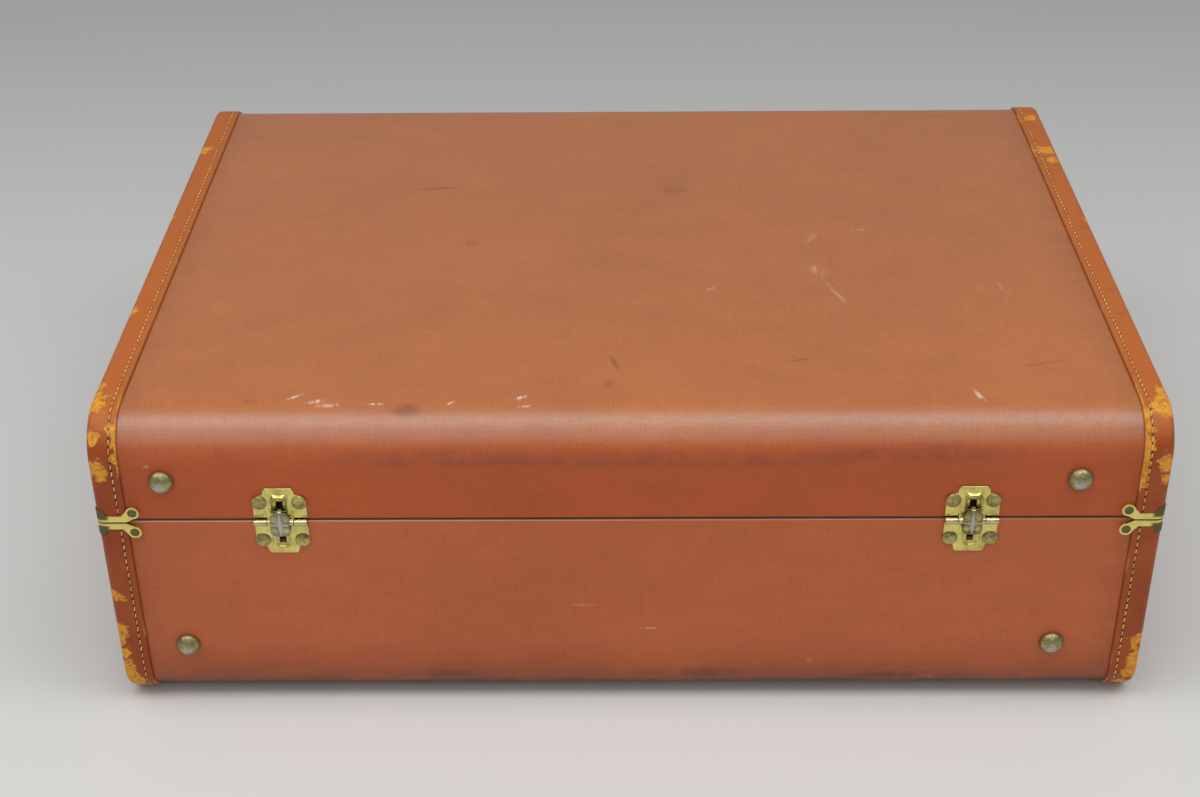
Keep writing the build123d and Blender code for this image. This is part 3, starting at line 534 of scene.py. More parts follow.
def wornBrass(name, tarnish, rough, corners=0.0, metalGrey=0.0):
    # bright to dull brass by noise, stained in spots and by the grime weight, which also paints shade in
    # hollows, grey where the plating is through, and painted grey shade on the barrels' lower halves
    look = brassLook
    f = Finish(name)
    place = f.place()
    slow = f.noise(place, 140, 4.0, 0.65)
    fine = f.noise(place, 900, 4.0, 0.7)
    base = f.blend((slow + tarnish).step(0.45, 0.95), look["bright"], look["dull"])
    stainAndShade = (f.noise(place, 420, 6.0, 0.75) + tarnish * 0.5).step(0.60, 0.86) * 0.75
    # the grime weight adds tarnish and painted shade: in hollows, at the foot of raised parts and round
    # rivets
    stainAndShade = stainAndShade + f.weight("grimeAndShade") * 0.8
    if corners:
        x, z = f.parts(place)[::2]
        fromSeam = abs(z - clipMarks["seam"])
        outward = abs(x).step(*clipMarks["outer"]) * fromSeam.step(*clipMarks["offSeam"])
        outward = outward * (0.75 + fine * 0.6)
        aside, above = abs(x) - clipMarks["rivetX"], fromSeam - clipMarks["rivetRise"]
        away = (aside * aside + above * above).calc("SQRT")
        ring = away.step(clipMarks["ring"] + 0.2 * mm, clipMarks["ring"] - 0.2 * mm)
        stainAndShade = stainAndShade + outward * corners + ring * 0.8
        base = f.blend(fromSeam.step(*clipMarks["atSeam"]) * 0.8, base, look["bright"])
    stainAndShade = stainAndShade.calc("MINIMUM", 0.92)
    base = f.blend(stainAndShade, base, look["stainAndShade"])
    grey = f.weight("bareAndShade") * (0.55 + fine * 0.8) + metalGrey
    base = f.blend(grey.calc("MINIMUM", 1.0), base, look["nickelAndShade"])
    scratches = f.noise(f.stretched(place, scale=(2500, 260, 700), turn=(0.3, 0.4, 0.5)), 1.0, 2.0)
    roughness = rough + slow * 0.14 + stainAndShade * 0.25
    normal = f.bump(scratches * 0.6 + fine * 0.5 + slow, 0.03 * mm, 0.5)
    normal = f.bump(f.noise(place, 230, 2.0), 0.30 * mm, 0.55, normal)
    return f.surface({"Base Color": base, "Roughness": roughness, "Metallic": 1.0 - stainAndShade * 0.35,
                      "Normal": normal})


def plainSteel(name):
    # two greys by noise, with long fine scratches as roughness and bump
    f = Finish(name)
    place = f.place()
    lines = f.noise(f.stretched(place, scale=(60, 1400, 1400)), 1.0, 3.0)
    tone = f.noise(place, 90, 4.0)
    base = f.blend(tone, (0.50, 0.49, 0.47), (0.30, 0.29, 0.27))
    return f.surface({"Base Color": base, "Roughness": 0.30 + lines * 0.2, "Metallic": 1.0,
                      "Normal": f.bump(lines, 0.02 * mm, 0.5)})


plyLook = {"light": (0.50, 0.33, 0.17), "dark": (0.32, 0.18, 0.08), "openings": (0.012, 0.007, 0.005),
           "wall": (-0.2196, -0.2206), "far": (0.0150, 0.0140), "near": (0.0045, 0.0055)}


def birchPly(name):
    # light to dark wood by noise drawn out along x
    look = plyLook
    f = Finish(name)
    place = f.place()
    y, z = f.parts(place)[1:]
    fibres = f.noise(f.stretched(place, scale=(30, 420, 420)), 1.0, 5.0, 0.65)
    base = f.blend(fibres.step(0.30, 0.75), look["light"], look["dark"])
    fromAxis = abs(z - clipMarks["seam"])
    opening = y.step(*look["wall"]) * fromAxis.step(*look["far"]) * fromAxis.step(*look["near"])
    base = f.blend(opening * 0.93, base, look["openings"])   # painted shade inside the hinge openings
    return f.surface({"Base Color": base, "Roughness": 0.62, "Normal": f.bump(fibres, 0.08 * mm, 0.4)})


liningLook = {"light": (0.520, 0.400, 0.245), "dark": (0.330, 0.235, 0.130), "thread": 0.8 * mm,
              "openingShade": (0.010, 0.006, 0.004), "openingShadeFrom": (-0.2203, -0.2207)}


def twill(name, tint=(1, 1, 1)):
    # diagonal rib from the sum of the three coordinates, times slow noise
    look = liningLook
    f = Finish(name)
    place = f.place()
    x, y, z = f.parts(place)
    k = 2 * math.pi / look["thread"]
    rib = ((x + y + z) * k).calc("SINE")
    cross = ((x - y + z) * (k * 0.5)).calc("SINE")
    light = tuple(a * b for a, b in zip(look["light"], tint))
    dark = tuple(a * b for a, b in zip(look["dark"], tint))
    mixBy = (rib * 0.30 + cross * 0.12 + f.noise(place, 30, 4.0) * 0.8).step(0.0, 1.0)
    base = f.blend(mixBy, light, dark)
    # painted shade along the sharp folds of the pocket's gathers
    base = f.blend(f.weight("foldShade") * 0.55, base, tuple(a * 0.30 for a in dark))
    # painted shade: near black on the side on the wood, seen through the hinges
    base = f.blend(y.step(*look["openingShadeFrom"]) * 0.95, base, look["openingShade"])
    normal = f.bump(rib + cross * 0.5 + f.noise(place, 1200, 2.0), 0.09 * mm, 0.6)
    return f.surface({"Base Color": base, "Roughness": 0.82, "Normal": normal, "Sheen Weight": 0.25,
                      "Sheen Roughness": 0.5})


def handleLeather(name):
    # two dark tones by noise, paler by the worn weight where hands rub, pores as bump under a thin coat
    f = Finish(name)
    place = f.place()
    slow = f.noise(place, 40, 4.0)
    base = f.blend(slow.step(0.3, 0.8), (0.235, 0.058, 0.020), (0.120, 0.028, 0.011))
    wear = (f.weight("worn") + f.noise(place, 120, 5.0, 0.7) * 0.8).step(0.95, 1.2)
    base = f.blend(wear * 0.6, base, (0.42, 0.16, 0.05))
    grainy = f.cells(place, 900).step(0.0, 0.3)
    return f.surface({"Base Color": base, "Roughness": 0.34 + slow * 0.15, "Coat Weight": 0.15,
                      "Coat Roughness": 0.3, "Normal": f.bump(grainy + slow, 0.06 * mm, 0.5)})


def wovenStrap(name):
    # chevron weave from the strap's own coordinates, with two darker edge lines
    f = Finish(name)
    u, v = f.parts(f.uv())[:2]
    zigzag = ((v / (3.0 * mm)).calc("PINGPONG", 1.0)) * 1.5 * mm
    rib = ((u + zigzag) * (2 * math.pi / (1.1 * mm))).calc("SINE")
    line = abs(abs(v) - 8.5 * mm).step(1.6 * mm, 1.0 * mm)
    tone = (rib * 0.3 + f.noise(f.place(), 200, 3.0)).step(0.1, 0.9)
    base = f.blend(tone, (0.34, 0.25, 0.14), (0.20, 0.135, 0.07))
    base = f.blend(line * 0.7, base, (0.16, 0.035, 0.015))
    return f.surface({"Base Color": base, "Roughness": 0.78, "Normal": f.bump(rib, 0.12 * mm, 0.7),
                      "Sheen Weight": 0.2})


finishes = {
    "cloth": coatedCloth("coatedCloth"),
    "endCloth": coatedCloth("coatedClothEnds", onEnds=True),
    "leather": bindingLeather("bindingLeather"),
    "thread": waxedThread("waxedThread"),
    "hingeBrass": wornBrass("hingeBrass", 0.14, 0.17),
    "clipBrass": wornBrass("clipBrass", 0.02, 0.30, corners=1.0),
    "rivetBrass": wornBrass("rivetBrass", 0.34, 0.30, metalGrey=0.04),
    "clipRivetBrass": wornBrass("clipRivetBrass", 0.75, 0.38),
    "footBrass": wornBrass("footBrass", 0.50, 0.19, metalGrey=0.12),
    "stayPlate": wornBrass("stayPlate", 0.30, 0.24),
    "steel": plainSteel("plainSteel"),
    "ply": birchPly("birchPly"),
    "lining": twill("liningTwill"),
    "pocket": twill("pocketTwill", (1.25, 1.22, 1.18)),
    "rim": twill("rimCloth", (0.72, 0.62, 0.55)),
    "grip": handleLeather("handleLeather"),
    "strap": wovenStrap("wovenStrap"),
}
print("materials made:", len(finishes))


# Walls of the case

def edgePath(half):
    # front seam, up the wall, round the far edge, across, and down the back:
    # points, outward normals and distance
    low, far, up, radius = half["seam"], half["far"], half["up"], half["radius"]
    w = caseForm["halfWidth"]
    rise = abs(far - low) - radius
    fineRows = pathSteps["fine"] * (1 - np.cos(np.linspace(0, np.pi / 2, 6)))
    wallRows = np.concatenate([fineRows, np.linspace(pathSteps["coarse"], rise, half["rows"])])
    wallRows = np.union1d(wallRows, hookOpening["rows"])
    angle = np.linspace(0, np.pi / 2, pathSteps["arc"])[1:]
    flat = np.linspace(-(w - radius), 0, pathSteps["flat"])[1:]
    y = np.concatenate([np.full(len(wallRows), -w), -(w - radius) - radius * np.cos(angle), flat])
    z = np.concatenate([low + up * wallRows, far - up * radius + up * radius * np.sin(angle),
                        np.full(len(flat), far)])
    ny = np.concatenate([np.full(len(wallRows), -1.0), -np.cos(angle), np.zeros(len(flat))])
    nz = np.concatenate([np.zeros(len(wallRows)), up * np.sin(angle), np.full(len(flat), float(up))])
    points, normals = (np.concatenate([front, (front * (-1, 1))[-2::-1]])
                       for front in (stacked(y, z), stacked(ny, nz)))
    return points, normals, wayAlong(points)


def onPath(points, normals, x, inset):
    # the path set in by inset and carried to x: one row for each path point, one column for each x
    yz = points[:, None, :] - inset[..., None] * normals[:, None, :]
    return stacked(x, yz[..., 0], yz[..., 1])


def ripple(a, b):
    # slow unevenness between 0 and 1 from a few crossed sines
    broad = np.sin(31 * a + 2.2 * np.sin(17 * b)) * np.sin(23 * b + 2.0)
    return 0.5 + (broad + 0.6 * np.sin(67 * a - 41 * b + 1.0)) / 3.2


# Openings behind the hinges: two heights from the seam, and half the width
hookOpening = {"rows": np.array([5.6, 14.4]) * mm, "half": 3.9 * mm}
clothForm = {"under": 1.8 * mm, "thickness": 0.8 * mm, "endX": 302.4 * mm, "seamRound": 0.75 * mm,
             "ripple": 0.10 * mm, "columns": 150}


def cutOpening(faces, rows, columns, width):
    # faces of a closed band without those between two rows and two columns, plus the opening's four walls
    corner = faces[:, 0]
    row, column = corner // (2 * width), corner % (2 * width)
    column = np.where(column >= width, 2 * width - 2 - column, column)
    gone = (row >= rows[0]) & (row < rows[1]) & (column >= columns[0]) & (column < columns[1])
    r, c = np.arange(rows[0], rows[1] + 1), np.arange(columns[0], columns[1] + 1)
    sides = [(r[0], c), (r, c[-1]), (r[-1], c[::-1]), (r[::-1], c[0])]
    ring = np.concatenate([stacked(*side)[:-1] for side in sides])
    outer = ring[:, 0] * 2 * width + ring[:, 1]
    inner = ring[:, 0] * 2 * width + 2 * width - 1 - ring[:, 1]
    walls = stacked(outer, np.roll(outer, -1), np.roll(inner, -1), inner)
    return np.concatenate([faces[~gone], walls])


def coverCloth(name):
    # cloth on the two long walls and the broad face of one half: the path carried along x,
    # set under the bindings
    form = clothForm
    points, normals, distance = edgePath(halves[name])
    openings = np.add.outer(list(hingeX.values()), [-hookOpening["half"], hookOpening["half"]])
    x = np.union1d(np.linspace(-form["endX"], form["endX"], form["columns"]), openings)
    fromSeam = np.minimum(distance, distance[-1] - distance)
    wave = ripple(x, distance[:, None])
    inset = form["under"] + edgeDrop(fromSeam, form["seamRound"])[:, None] + form["ripple"] * wave
    outer = onPath(points, normals, x, inset)
    inner = onPath(points, normals, x, np.full_like(inset, form["under"] + form["thickness"]))
    grid, faces = closedBand(outer, inner)
    rows = np.searchsorted(distance, hookOpening["rows"] - 0.01 * mm)
    for sides in openings:
        faces = cutOpening(faces, rows, np.searchsorted(x, sides - 0.01 * mm), len(x))
    addPiece(name + "Cloth", grid, faces, finishes["cloth"], name,
             uv=bothFaces(stacked(x, distance[:, None])), replaces=[name + "_cover"])


for name in halves:
    coverCloth(name)
print("cloth on")


# Leather bindings with their stitches

bindingForm = {"thickness": 1.8 * mm, "leg": 17.0 * mm, "corner": 4.0 * mm, "edgeRound": 0.75 * mm,
               "groove": 0.32 * mm, "grooveWidth": 0.75 * mm, "ripple": 0.07 * mm}
# Where the skin is worn through: place and radius in millimetres
wornPlaces = mm * np.array([
    (-302.5, -202, 199.8, 12), (-303.6, -186.2, 200, 8), (-301, -223.3, 187.2, 6), (-301.2, -227.5, 170, 9),
    (-299.2, -227.5, 164, 5), (-289.3, -219.8, 191.6, 5), (-289.3, -225, 185, 5), (-289.3, -227.5, 177, 5),
    (-301.1, -227.5, 79.1, 6), (-303, -227.5, 56, 6), (-303.5, -227.5, 47.6, 8), (-303.5, -227.5, 36, 9),
    (-301, -225.4, 14.9, 10), (-296.6, -220, 6, 8), (-303.6, -227, 25, 9), (-299, -222.5, 9, 9),
    (-302, 136.9, 200, 8), (-303.5, -97.1, 200, 6), (-304, 30, 200, 4), (-301, 218, 190, 9),
    (300, -208.7, 199, 13), (303.5, -195, 199, 9), (299, -227.5, 174, 6), (302, -227.5, 170, 7),
    (302, -227.5, 160.5, 6), (304, -227.5, 45.7, 8), (303, -227.5, 33, 8), (302.9, -226.5, 22, 10),
    (299, -221.5, 8, 9), (296.7, 129.6, 200, 9), (299, 112.9, 200, 7), (294.8, 185.7, 200, 7),
    (289.3, -213, 196.5, 6), (289.3, -220.5, 190.8, 6), (289.3, -226, 182, 6), (289.3, -227.5, 174, 6),
    (289.3, -227.5, 166, 5), (289.3, -227.5, 158, 4), (303.5, 20, 200, 5), (304, 212, 193, 9),
    (-303, 220, 10, 10), (302, 220, 12, 10),
])


def stripSection():
    # across the strip: along the wall, a quarter circle round the corner, and down the end face
    form = bindingForm
    straight = form["leg"] - form["corner"]
    fine = [np.linspace(0, 0.8, 6), np.linspace(1.3, 6.7, 19), np.linspace(8, 13, 5)[:-1]]
    fine = np.concatenate(fine) * mm
    angle = np.linspace(0, np.pi / 2, 9)
    inner = caseForm["halfLength"] - form["leg"]
    centreX = caseForm["halfLength"] - form["corner"]
    x = np.concatenate([inner + fine, centreX + form["corner"] * np.sin(angle),
                        np.full(len(fine), caseForm["halfLength"])])
    inset = np.concatenate([np.zeros(len(fine)), form["corner"] * (1 - np.cos(angle)),
                            form["leg"] - fine[::-1]])
    nx = np.concatenate([np.zeros(len(fine)), np.sin(angle), np.ones(len(fine))])
    across = np.concatenate([fine, straight + form["corner"] * angle,
                             straight * 2 + form["corner"] * np.pi / 2 - fine[::-1]])
    return x, inset, nx, np.sqrt(1 - nx ** 2), across


def wearAt(grid):
    # highest of the worn places' bell curves, a little more along the outer corner
    away = np.linalg.norm(grid[:, :, None, :] - wornPlaces[:, :3], axis=-1)
    spots = bell(away, 0, wornPlaces[:, 3]).max(-1)
    corner = smoothStep(0.3015, 0.3045, np.abs(grid[..., 0])) * 0.30
    return np.clip(np.maximum(spots, corner), 0, 1)


def leatherBinding(half, side):
    # the strip's section carried along the edge path, mirrored for the left end
    form = bindingForm
    x, inset, nx, nn, across = stripSection()
    points, normals, distance = edgePath(halves[half])
    fromSeam = np.minimum(distance, distance[-1] - distance)[:, None]
    fromEdge = np.minimum(across, across[-1] - across)
    groove = form["groove"] * bell(fromEdge, leatherLook["stitchIn"], form["grooveWidth"])
    low = groove + edgeDrop(fromEdge, form["edgeRound"]) + edgeDrop(fromSeam, form["edgeRound"])
    low = low + form["ripple"] * ripple(distance[:, None], across * 6 + side)
    outer = onPath(points, normals, side * (x - low * nx), inset + low * nn)
    backX = np.minimum(x, caseForm["halfLength"] - form["thickness"])
    inner = onPath(points, normals, side * backX, np.maximum(inset, form["thickness"])[None])
    along = wayAlong(onPath(points, normals, side * x, inset[None]))
    grid, faces = closedBand(outer, inner)
    sideName = "Right" if side > 0 else "Left"
    addPiece(half + "Binding" + sideName, grid, faces, finishes["leather"], half,
             uv=bothFaces(stacked(along, across)), weights={"worn": bothFaces(wearAt(outer))},
             replaces=[half + "_binding_" + sideName.lower()])


stitchForm = {"length": 3.9 * mm, "radius": 0.40 * mm, "rise": 0.34 * mm, "dip": 0.70 * mm,
              "slant": 0.22 * mm, "rings": 7, "sides": 6}


def stitchRow(line, normals, pitch):
    # one bent capsule per stitch: the centre rises and dips along the line, the ring shrinks to both ends
    form = stitchForm
    way = wayAlong(line)
    count = int(way[-1] / pitch)
    rings, sides = form["rings"], form["sides"]
    along = np.linspace(-1, 1, rings)
    jitter = rng.normal(0, 0.05, count)
    middle = (np.arange(count) + 0.5) * pitch
    s = middle[:, None] + along[None, :] * form["length"] / 2 * (1 + jitter[:, None])
    centre, up = (stacked(*(np.interp(s, way, part) for part in values.T))
                  for values in (line, np.broadcast_to(normals, line.shape)))
    up = unit(up)
    aside = np.cross(unit(np.gradient(centre, axis=1)), up)
    bow = form["rise"] * (1 - along ** 2) - form["dip"] * along ** 4
    lean = form["slant"] * along[None, :] * (1 + 4 * jitter[:, None])
    centre = centre + up * bow[None, :, None] + aside * lean[..., None]
    radius = form["radius"] * np.sqrt(1.02 - along ** 6) * (0.86 + 0.14 * (1 - along ** 2))
    turn = evenTurn(sides)
    ring = np.cos(turn)[:, None] * up[:, :, None, :] + np.sin(turn)[:, None] * aside[:, :, None, :]
    grid = centre[:, :, None, :] + ring * radius[None, :, None, None]
    tube = gridFaces(rings, sides, closeCols=True)
    end = np.array([[0, 1, 2, 3], [0, 3, 4, 5]])
    one = np.concatenate([tube, end[:, ::-1], end + (rings - 1) * sides])
    faces = (one[None] + (np.arange(count) * rings * sides)[:, None, None]).reshape(-1, 4)
    uv = stacked(s[:, :, None], turn / (2 * np.pi))
    tone = np.broadcast_to(rng.random(count)[:, None, None], grid.shape[:3])
    return grid.reshape(-1, 3), faces, uv.reshape(-1, 2), tone.ravel()


def addStitches(name, rows, body):
    grid, faces = joinGrids([(row[0], row[1]) for row in rows])
    uv, tone = (np.concatenate([row[k] for row in rows]) for k in (2, 3))
    addPiece(name, grid, faces, finishes["thread"], body, uv=uv, weights={"tone": tone})


def bindingStitches(half):
    # two rows on each strip: one on the wall and one on the end, both stitchIn from the cut edge
    form = bindingForm
    points, normals, _ = edgePath(halves[half])
    rows = []
    fromCorner = form["leg"] - leatherLook["stitchIn"]
    out = stacked(0.0, *normals.T)
    for side in (-1, 1):
        wall = stacked(side * (caseForm["halfLength"] - fromCorner), *points.T) - out * form["groove"]
        end = stacked(side * (caseForm["halfLength"] - form["groove"]), *(points - normals * fromCorner).T)
        for line, away in ((wall, out), (end, (side, 0.0, 0.0))):
            rows.append(stitchRow(line, away, leatherLook["stitchPitch"]))
    addStitches(half + "Stitching", rows, half)


for half in halves:
    for side in (-1, 1):
        leatherBinding(half, side)
    bindingStitches(half)
print("bindings on")


# Turned studs and rivets

around = evenTurn(48)


def turnedHeads(name, places, profile, finish, body, replaces, weights, stand=0.0, tilt=(0, 0)):
    # a profile of radius and height turned about each place on the hinge side's wall
    radius, height = profile.T[..., None]
    aside, up = radius * np.cos(around), radius * np.sin(around)
    size = aside.shape
    grids = []
    for (x, z), lean in zip(places, tilt):
        out = caseForm["coverFace"] + stand + height + lean * aside
        grids.append((stacked(x + aside, -out, z + up).reshape(-1, 3), gridFaces(*size, closeCols=True)))
    grid, faces = joinGrids(grids)
    spread = {key: np.tile(np.broadcast_to(values.reshape(len(radius), -1), size).ravel(), len(places))
              for key, values in weights.items()}
    addPiece(name, grid, faces, finish, body, weights=spread, replaces=replaces,
             merge=0.002 * mm)


footForm = {"radius": 7.3 * mm, "height": 5.6 * mm, "curl": 0.45 * mm,
            "lid": [(-0.2653, 0.1604), (0.2544, 0.1604)], "base": [(-0.2637, 0.0432), (0.2511, 0.0432)]}
rivetForm = {"radius": 4.2 * mm, "height": 1.3 * mm, "across": 11.6 * mm, "along": 13.0 * mm,
             "leaf": 0.9 * mm}


def footProfile():
    # turned-in edge, then a dome that is flatter at its crown, from the wall to the middle
    form = footForm
    a = np.linspace(0, np.pi / 2, 18)
    radius = np.concatenate([[0.0, form["radius"] - form["curl"]], form["radius"] * np.cos(a) ** 0.95])
    height = np.concatenate([[0.0, 0.0], form["curl"] + (form["height"] - form["curl"]) * np.sin(a)])
    return np.column_stack([radius, height])


def rivetProfile(radius, height):
    # thin cylindrical lip under a low crown
    a = np.linspace(0, np.pi / 2, 9)
    crown = radius * np.cos(a) ** 0.8
    top = height * 0.35 + height * 0.65 * np.sin(a)
    return np.column_stack([np.concatenate([[0.0, radius * 0.97, radius], crown]),
                            np.concatenate([[0.0, 0.0, height * 0.15], top])])


footShape = footProfile()
wearAway = np.hypot(footShape[:, :1] * np.cos(around) + 0.3 * mm,
                    footShape[:, :1] * np.sin(around) + 1.5 * mm)   # from the rubbed place beside the crown
crownWear = smoothStep(4.4 * mm, 1.2 * mm, wearAway) * (0.80 + 0.25 * np.cos(3 * around + 1)) * 0.75
# painted shade and grime at the stud's foot, where it meets the cloth
rimShadeAndGrime = smoothStep(0.30, 0.05, footShape[:, 1] / footForm["height"]) * 0.8
for half in halves:
    turnedHeads(half + "Feet", footForm[half], footShape, finishes["footBrass"], half,
                replaces=[half + "_feet"], weights={"bareAndShade": crownWear, "grimeAndShade": rimShadeAndGrime})

for half in halves:
    up = halves[half]["up"]
    places = [(x + dx, axisHeight + up * rivetForm["along"]) for x in hingeX.values()
              for dx in (-rivetForm["across"], rivetForm["across"])]
    shape = rivetProfile(rivetForm["radius"], rivetForm["height"])
    # painted shade and grime round the rivet head's lip
    lip = smoothStep(0.5, 0.1, shape[:, 1:] / rivetForm["height"]) * 0.6
    # dark towards the barrel
    crescent = (0.5 - 0.5 * up * np.sin(around)) ** 2 * shape[:, :1] / rivetForm["radius"]
    turnedHeads(half + "HingeRivets", places, shape, finishes["rivetBrass"], half,
                replaces=[half + "_hinge_rivets"],
                weights={"grimeAndShade": np.clip(lip + crescent * 0.75, 0, 1), "bareAndShade": np.zeros(len(shape))},
                stand=rivetForm["leaf"], tilt=[0.02, -0.02, -0.03, 0.02])
print("studs and rivets on")


# Stop hinges

leafForm = {
    "halfWidth": 15.3, "start": 2.1, "shoulder": 16.8, "reach": 22.4, "tab": 8.5, "cut": 2.4, "flare": 1.0,
    "holeHalf": 1.9, "holeLow": 9.4, "holeHigh": {"lid": 13.4, "base": 14.8}, "mouthHalf": 3.7,
    "mouthLow": 6.8,
    "plate": 0.9, "knuckle": 1.9, "bore": 1.15, "centre": 7.7, "gap": 0.1,
    "ridgeAway": 4.9, "ridgeTop": {"lid": 12.4, "base": 13.0}, "ridgeWidth": 0.75, "ridgeHeight": 1.0,
    "bridge": 0.95, "bridgeHalf": 4.6, "bridgeAt": 16.2, "bridgeReach": 2.1,
    "beadAt": 20.9, "curlAt": 3.1, "swell": (10.9, 6.8), "rivet": (11.6, 13.0),
}


def reachOf(corners, angles):
    # distance from the origin to the polygon's edge along each angle
    ends = np.roll(corners, -1, axis=0) - corners
    ray = np.stack([np.cos(angles), np.sin(angles)], -1)[:, None, :]
    cross = ray[..., 0] * ends[:, 1] - ray[..., 1] * ends[:, 0]
    cross = np.where(np.abs(cross) < 1e-9, 1e-9, cross)
    far = (corners[:, 0] * ends[:, 1] - corners[:, 1] * ends[:, 0]) / cross
    share = (corners[:, 0] * ray[..., 1] - corners[:, 1] * ray[..., 0]) / cross
    good = (far > 0) & (share > -1e-6) & (share < 1 + 1e-6)
    return np.where(good, far, 1e3).min(1)


def leafPlate(half):
    # rings from the opening's edge out to the plate's edge; height is the plate with a horseshoe ridge
    # and beads, and a pad beyond the lid leaf's opening
    form = leafForm
    holeHigh, ridgeTop = form["holeHigh"][half], form["ridgeTop"][half]
    middle = np.array([0.0, 9.0])   # of the rings
    right = [(form["halfWidth"], form["start"]), (form["halfWidth"], form["shoulder"] - form["cut"]),
             (form["halfWidth"] - form["cut"], form["shoulder"]),
             (form["tab"] + form["flare"], form["shoulder"] + form["flare"]),
             (form["tab"], form["reach"] - form["flare"]), (form["tab"] - form["flare"], form["reach"])]
    outline = mirrored(right) - middle
    hole = mirrored([(form["mouthHalf"], form["mouthLow"]), (form["holeHalf"], form["holeLow"]),
                     (form["holeHalf"], holeHigh)]) - middle
    angles = fanAngles(np.concatenate([outline, hole]), 160)
    inner, outer = reachOf(hole, angles), reachOf(outline, angles)
    share = np.concatenate([[0, 0.02, 0.05], np.linspace(0.09, 0.94, 22), [0.965, 0.985, 1.0]])
    drop = np.concatenate([[0.30, 0.10, 0.02], np.zeros(22), [0.02, 0.10, 0.30]])
    reach = inner + (outer - inner) * share[:, None]
    x = reach * np.cos(angles)
    y = reach * np.sin(angles) + middle[1]
    bend = np.where(y > ridgeTop, np.hypot(x, y - ridgeTop), np.abs(x))
    near = bell(bend, form["ridgeAway"], form["ridgeWidth"])
    ridge = form["ridgeHeight"] * near * smoothStep(4.2, 6.8, y)
    pad = np.maximum(np.abs(x) / form["bridgeHalf"], np.abs(y - form["bridgeAt"]) / form["bridgeReach"])
    bridge = form["bridge"] * smoothStep(1.0, 0.62, pad) * (1.0 if half == "lid" else 0.0)
    bead = 0.20 * bell(y, form["beadAt"], 0.35) * smoothStep(8.0, 7.2, np.abs(x))
    curl = 0.55 * bell(y, form["curlAt"], 0.55) * smoothStep(7.2, 8.0, np.abs(x))
    swell = 0.45 * bell(np.hypot(np.abs(x) - form["swell"][0], y - form["swell"][1]), 0, 2.6)
    top = form["plate"] + ridge + bridge + bead + curl + swell - drop[:, None]
    # painted shade and grime: at the foot of the horseshoe ridge, round the rivets, round the lid's pad and
    # along the opening's edge
    grimeAndShade = bell(bend + 1.6, form["ridgeAway"], 0.7) * smoothStep(5, 8, y) * 0.35
    fromRivet = np.hypot(np.abs(x) - form["rivet"][0], y - form["rivet"][1])
    grimeAndShade = grimeAndShade + smoothStep(5.2, 4.3, fromRivet) * 0.6
    if half == "lid":
        grimeAndShade = grimeAndShade + bell(pad, 1.05, 0.10) * 0.4
    grimeAndShade = grimeAndShade + smoothStep(1.0, 0.3, reach - inner) * 0.35
    points, faces = ringSolid(x, y, top, 0.0, closeRows=True)
    return points, faces, np.concatenate([grimeAndShade, np.full_like(grimeAndShade, 0.5)]).ravel()


def knuckleTube(low, high):
    # a tube along the axis with rounded ends, and the bent root that joins it to the plate
    form = leafForm
    e = 0.22
    x = np.array([low + e, low + 0.08, low, low, high, high, high - 0.08, high - e])
    r = np.array([form["knuckle"], form["knuckle"] - 0.07, form["knuckle"] - e, form["bore"], form["bore"],
                  form["knuckle"] - e, form["knuckle"] - 0.07, form["knuckle"]])
    turn = evenTurn(40)
    points = stacked(x[:, None], r[:, None] * np.cos(turn), r[:, None] * np.sin(turn) + axisOut / mm)
    tail = np.array([(1.55, 0.55), (form["start"] + 0.5, 0.0), (form["start"] + 0.5, form["plate"]),
                     (1.75, 1.35), (1.0, 0.95)])
    ends = np.array([low + 0.02, low + 0.1, high - 0.1, high - 0.02])[:, None]
    root = stacked(ends, *tail.T)
    centre = root.mean(axis=1, keepdims=True)
    root = np.concatenate([np.repeat(centre[:1], len(tail), 1), root, np.repeat(centre[-1:], len(tail), 1)])
    return [(points.reshape(-1, 3), gridFaces(len(x), len(turn), closeRows=True, closeCols=True)),
            (root.reshape(-1, 3), gridFaces(len(root), len(tail), closeCols=True))]


def onHinge(points, name, up):
    # local millimetres (along the axis, away from it, out of the wall) to the place on the hinge side
    x = hingeX[name] + up * points[:, 0] * mm
    y = -(caseForm["coverFace"] + points[:, 2] * mm)
    return np.column_stack([x, y, axisHeight + up * points[:, 1] * mm])


def hingeLeaf(half, name):
    form = leafForm
    points, faces, grimeAndShade = leafPlate(half)
    if half == "lid":
        spans = [(-form["centre"] + form["gap"], form["centre"] - form["gap"])]
    else:
        spans = [(-form["halfWidth"], -form["centre"] - form["gap"]),
                 (form["centre"] + form["gap"], form["halfWidth"])]
    grids = [(points, faces)]
    for span in spans:
        grids += knuckleTube(*span)
    grid, faces = joinGrids(grids)
    extra = np.zeros(len(grid))
    extra[:len(grimeAndShade)] = grimeAndShade
    # painted shade: the barrels' lower halves go grey through the bare weight
    below = smoothStep(0.3, -1.2, grid[:, 1] * halves[half]["up"]) * (np.abs(grid[:, 2] - axisOut / mm) < 2)
    bareAndShade = np.where(np.arange(len(grid)) < len(grimeAndShade), 0.0, 0.40 + below * 0.55)
    pieceName = "hinge" + name.capitalize() + half.capitalize() + "Leaf"
    addPiece(pieceName, onHinge(grid, name, halves[half]["up"]), faces, finishes["hingeBrass"], half,
             weights={"grimeAndShade": extra, "bareAndShade": bareAndShade}, replaces=["hinge_" + name + "_" + half + "_leaf"],
             merge=0.001 * mm)


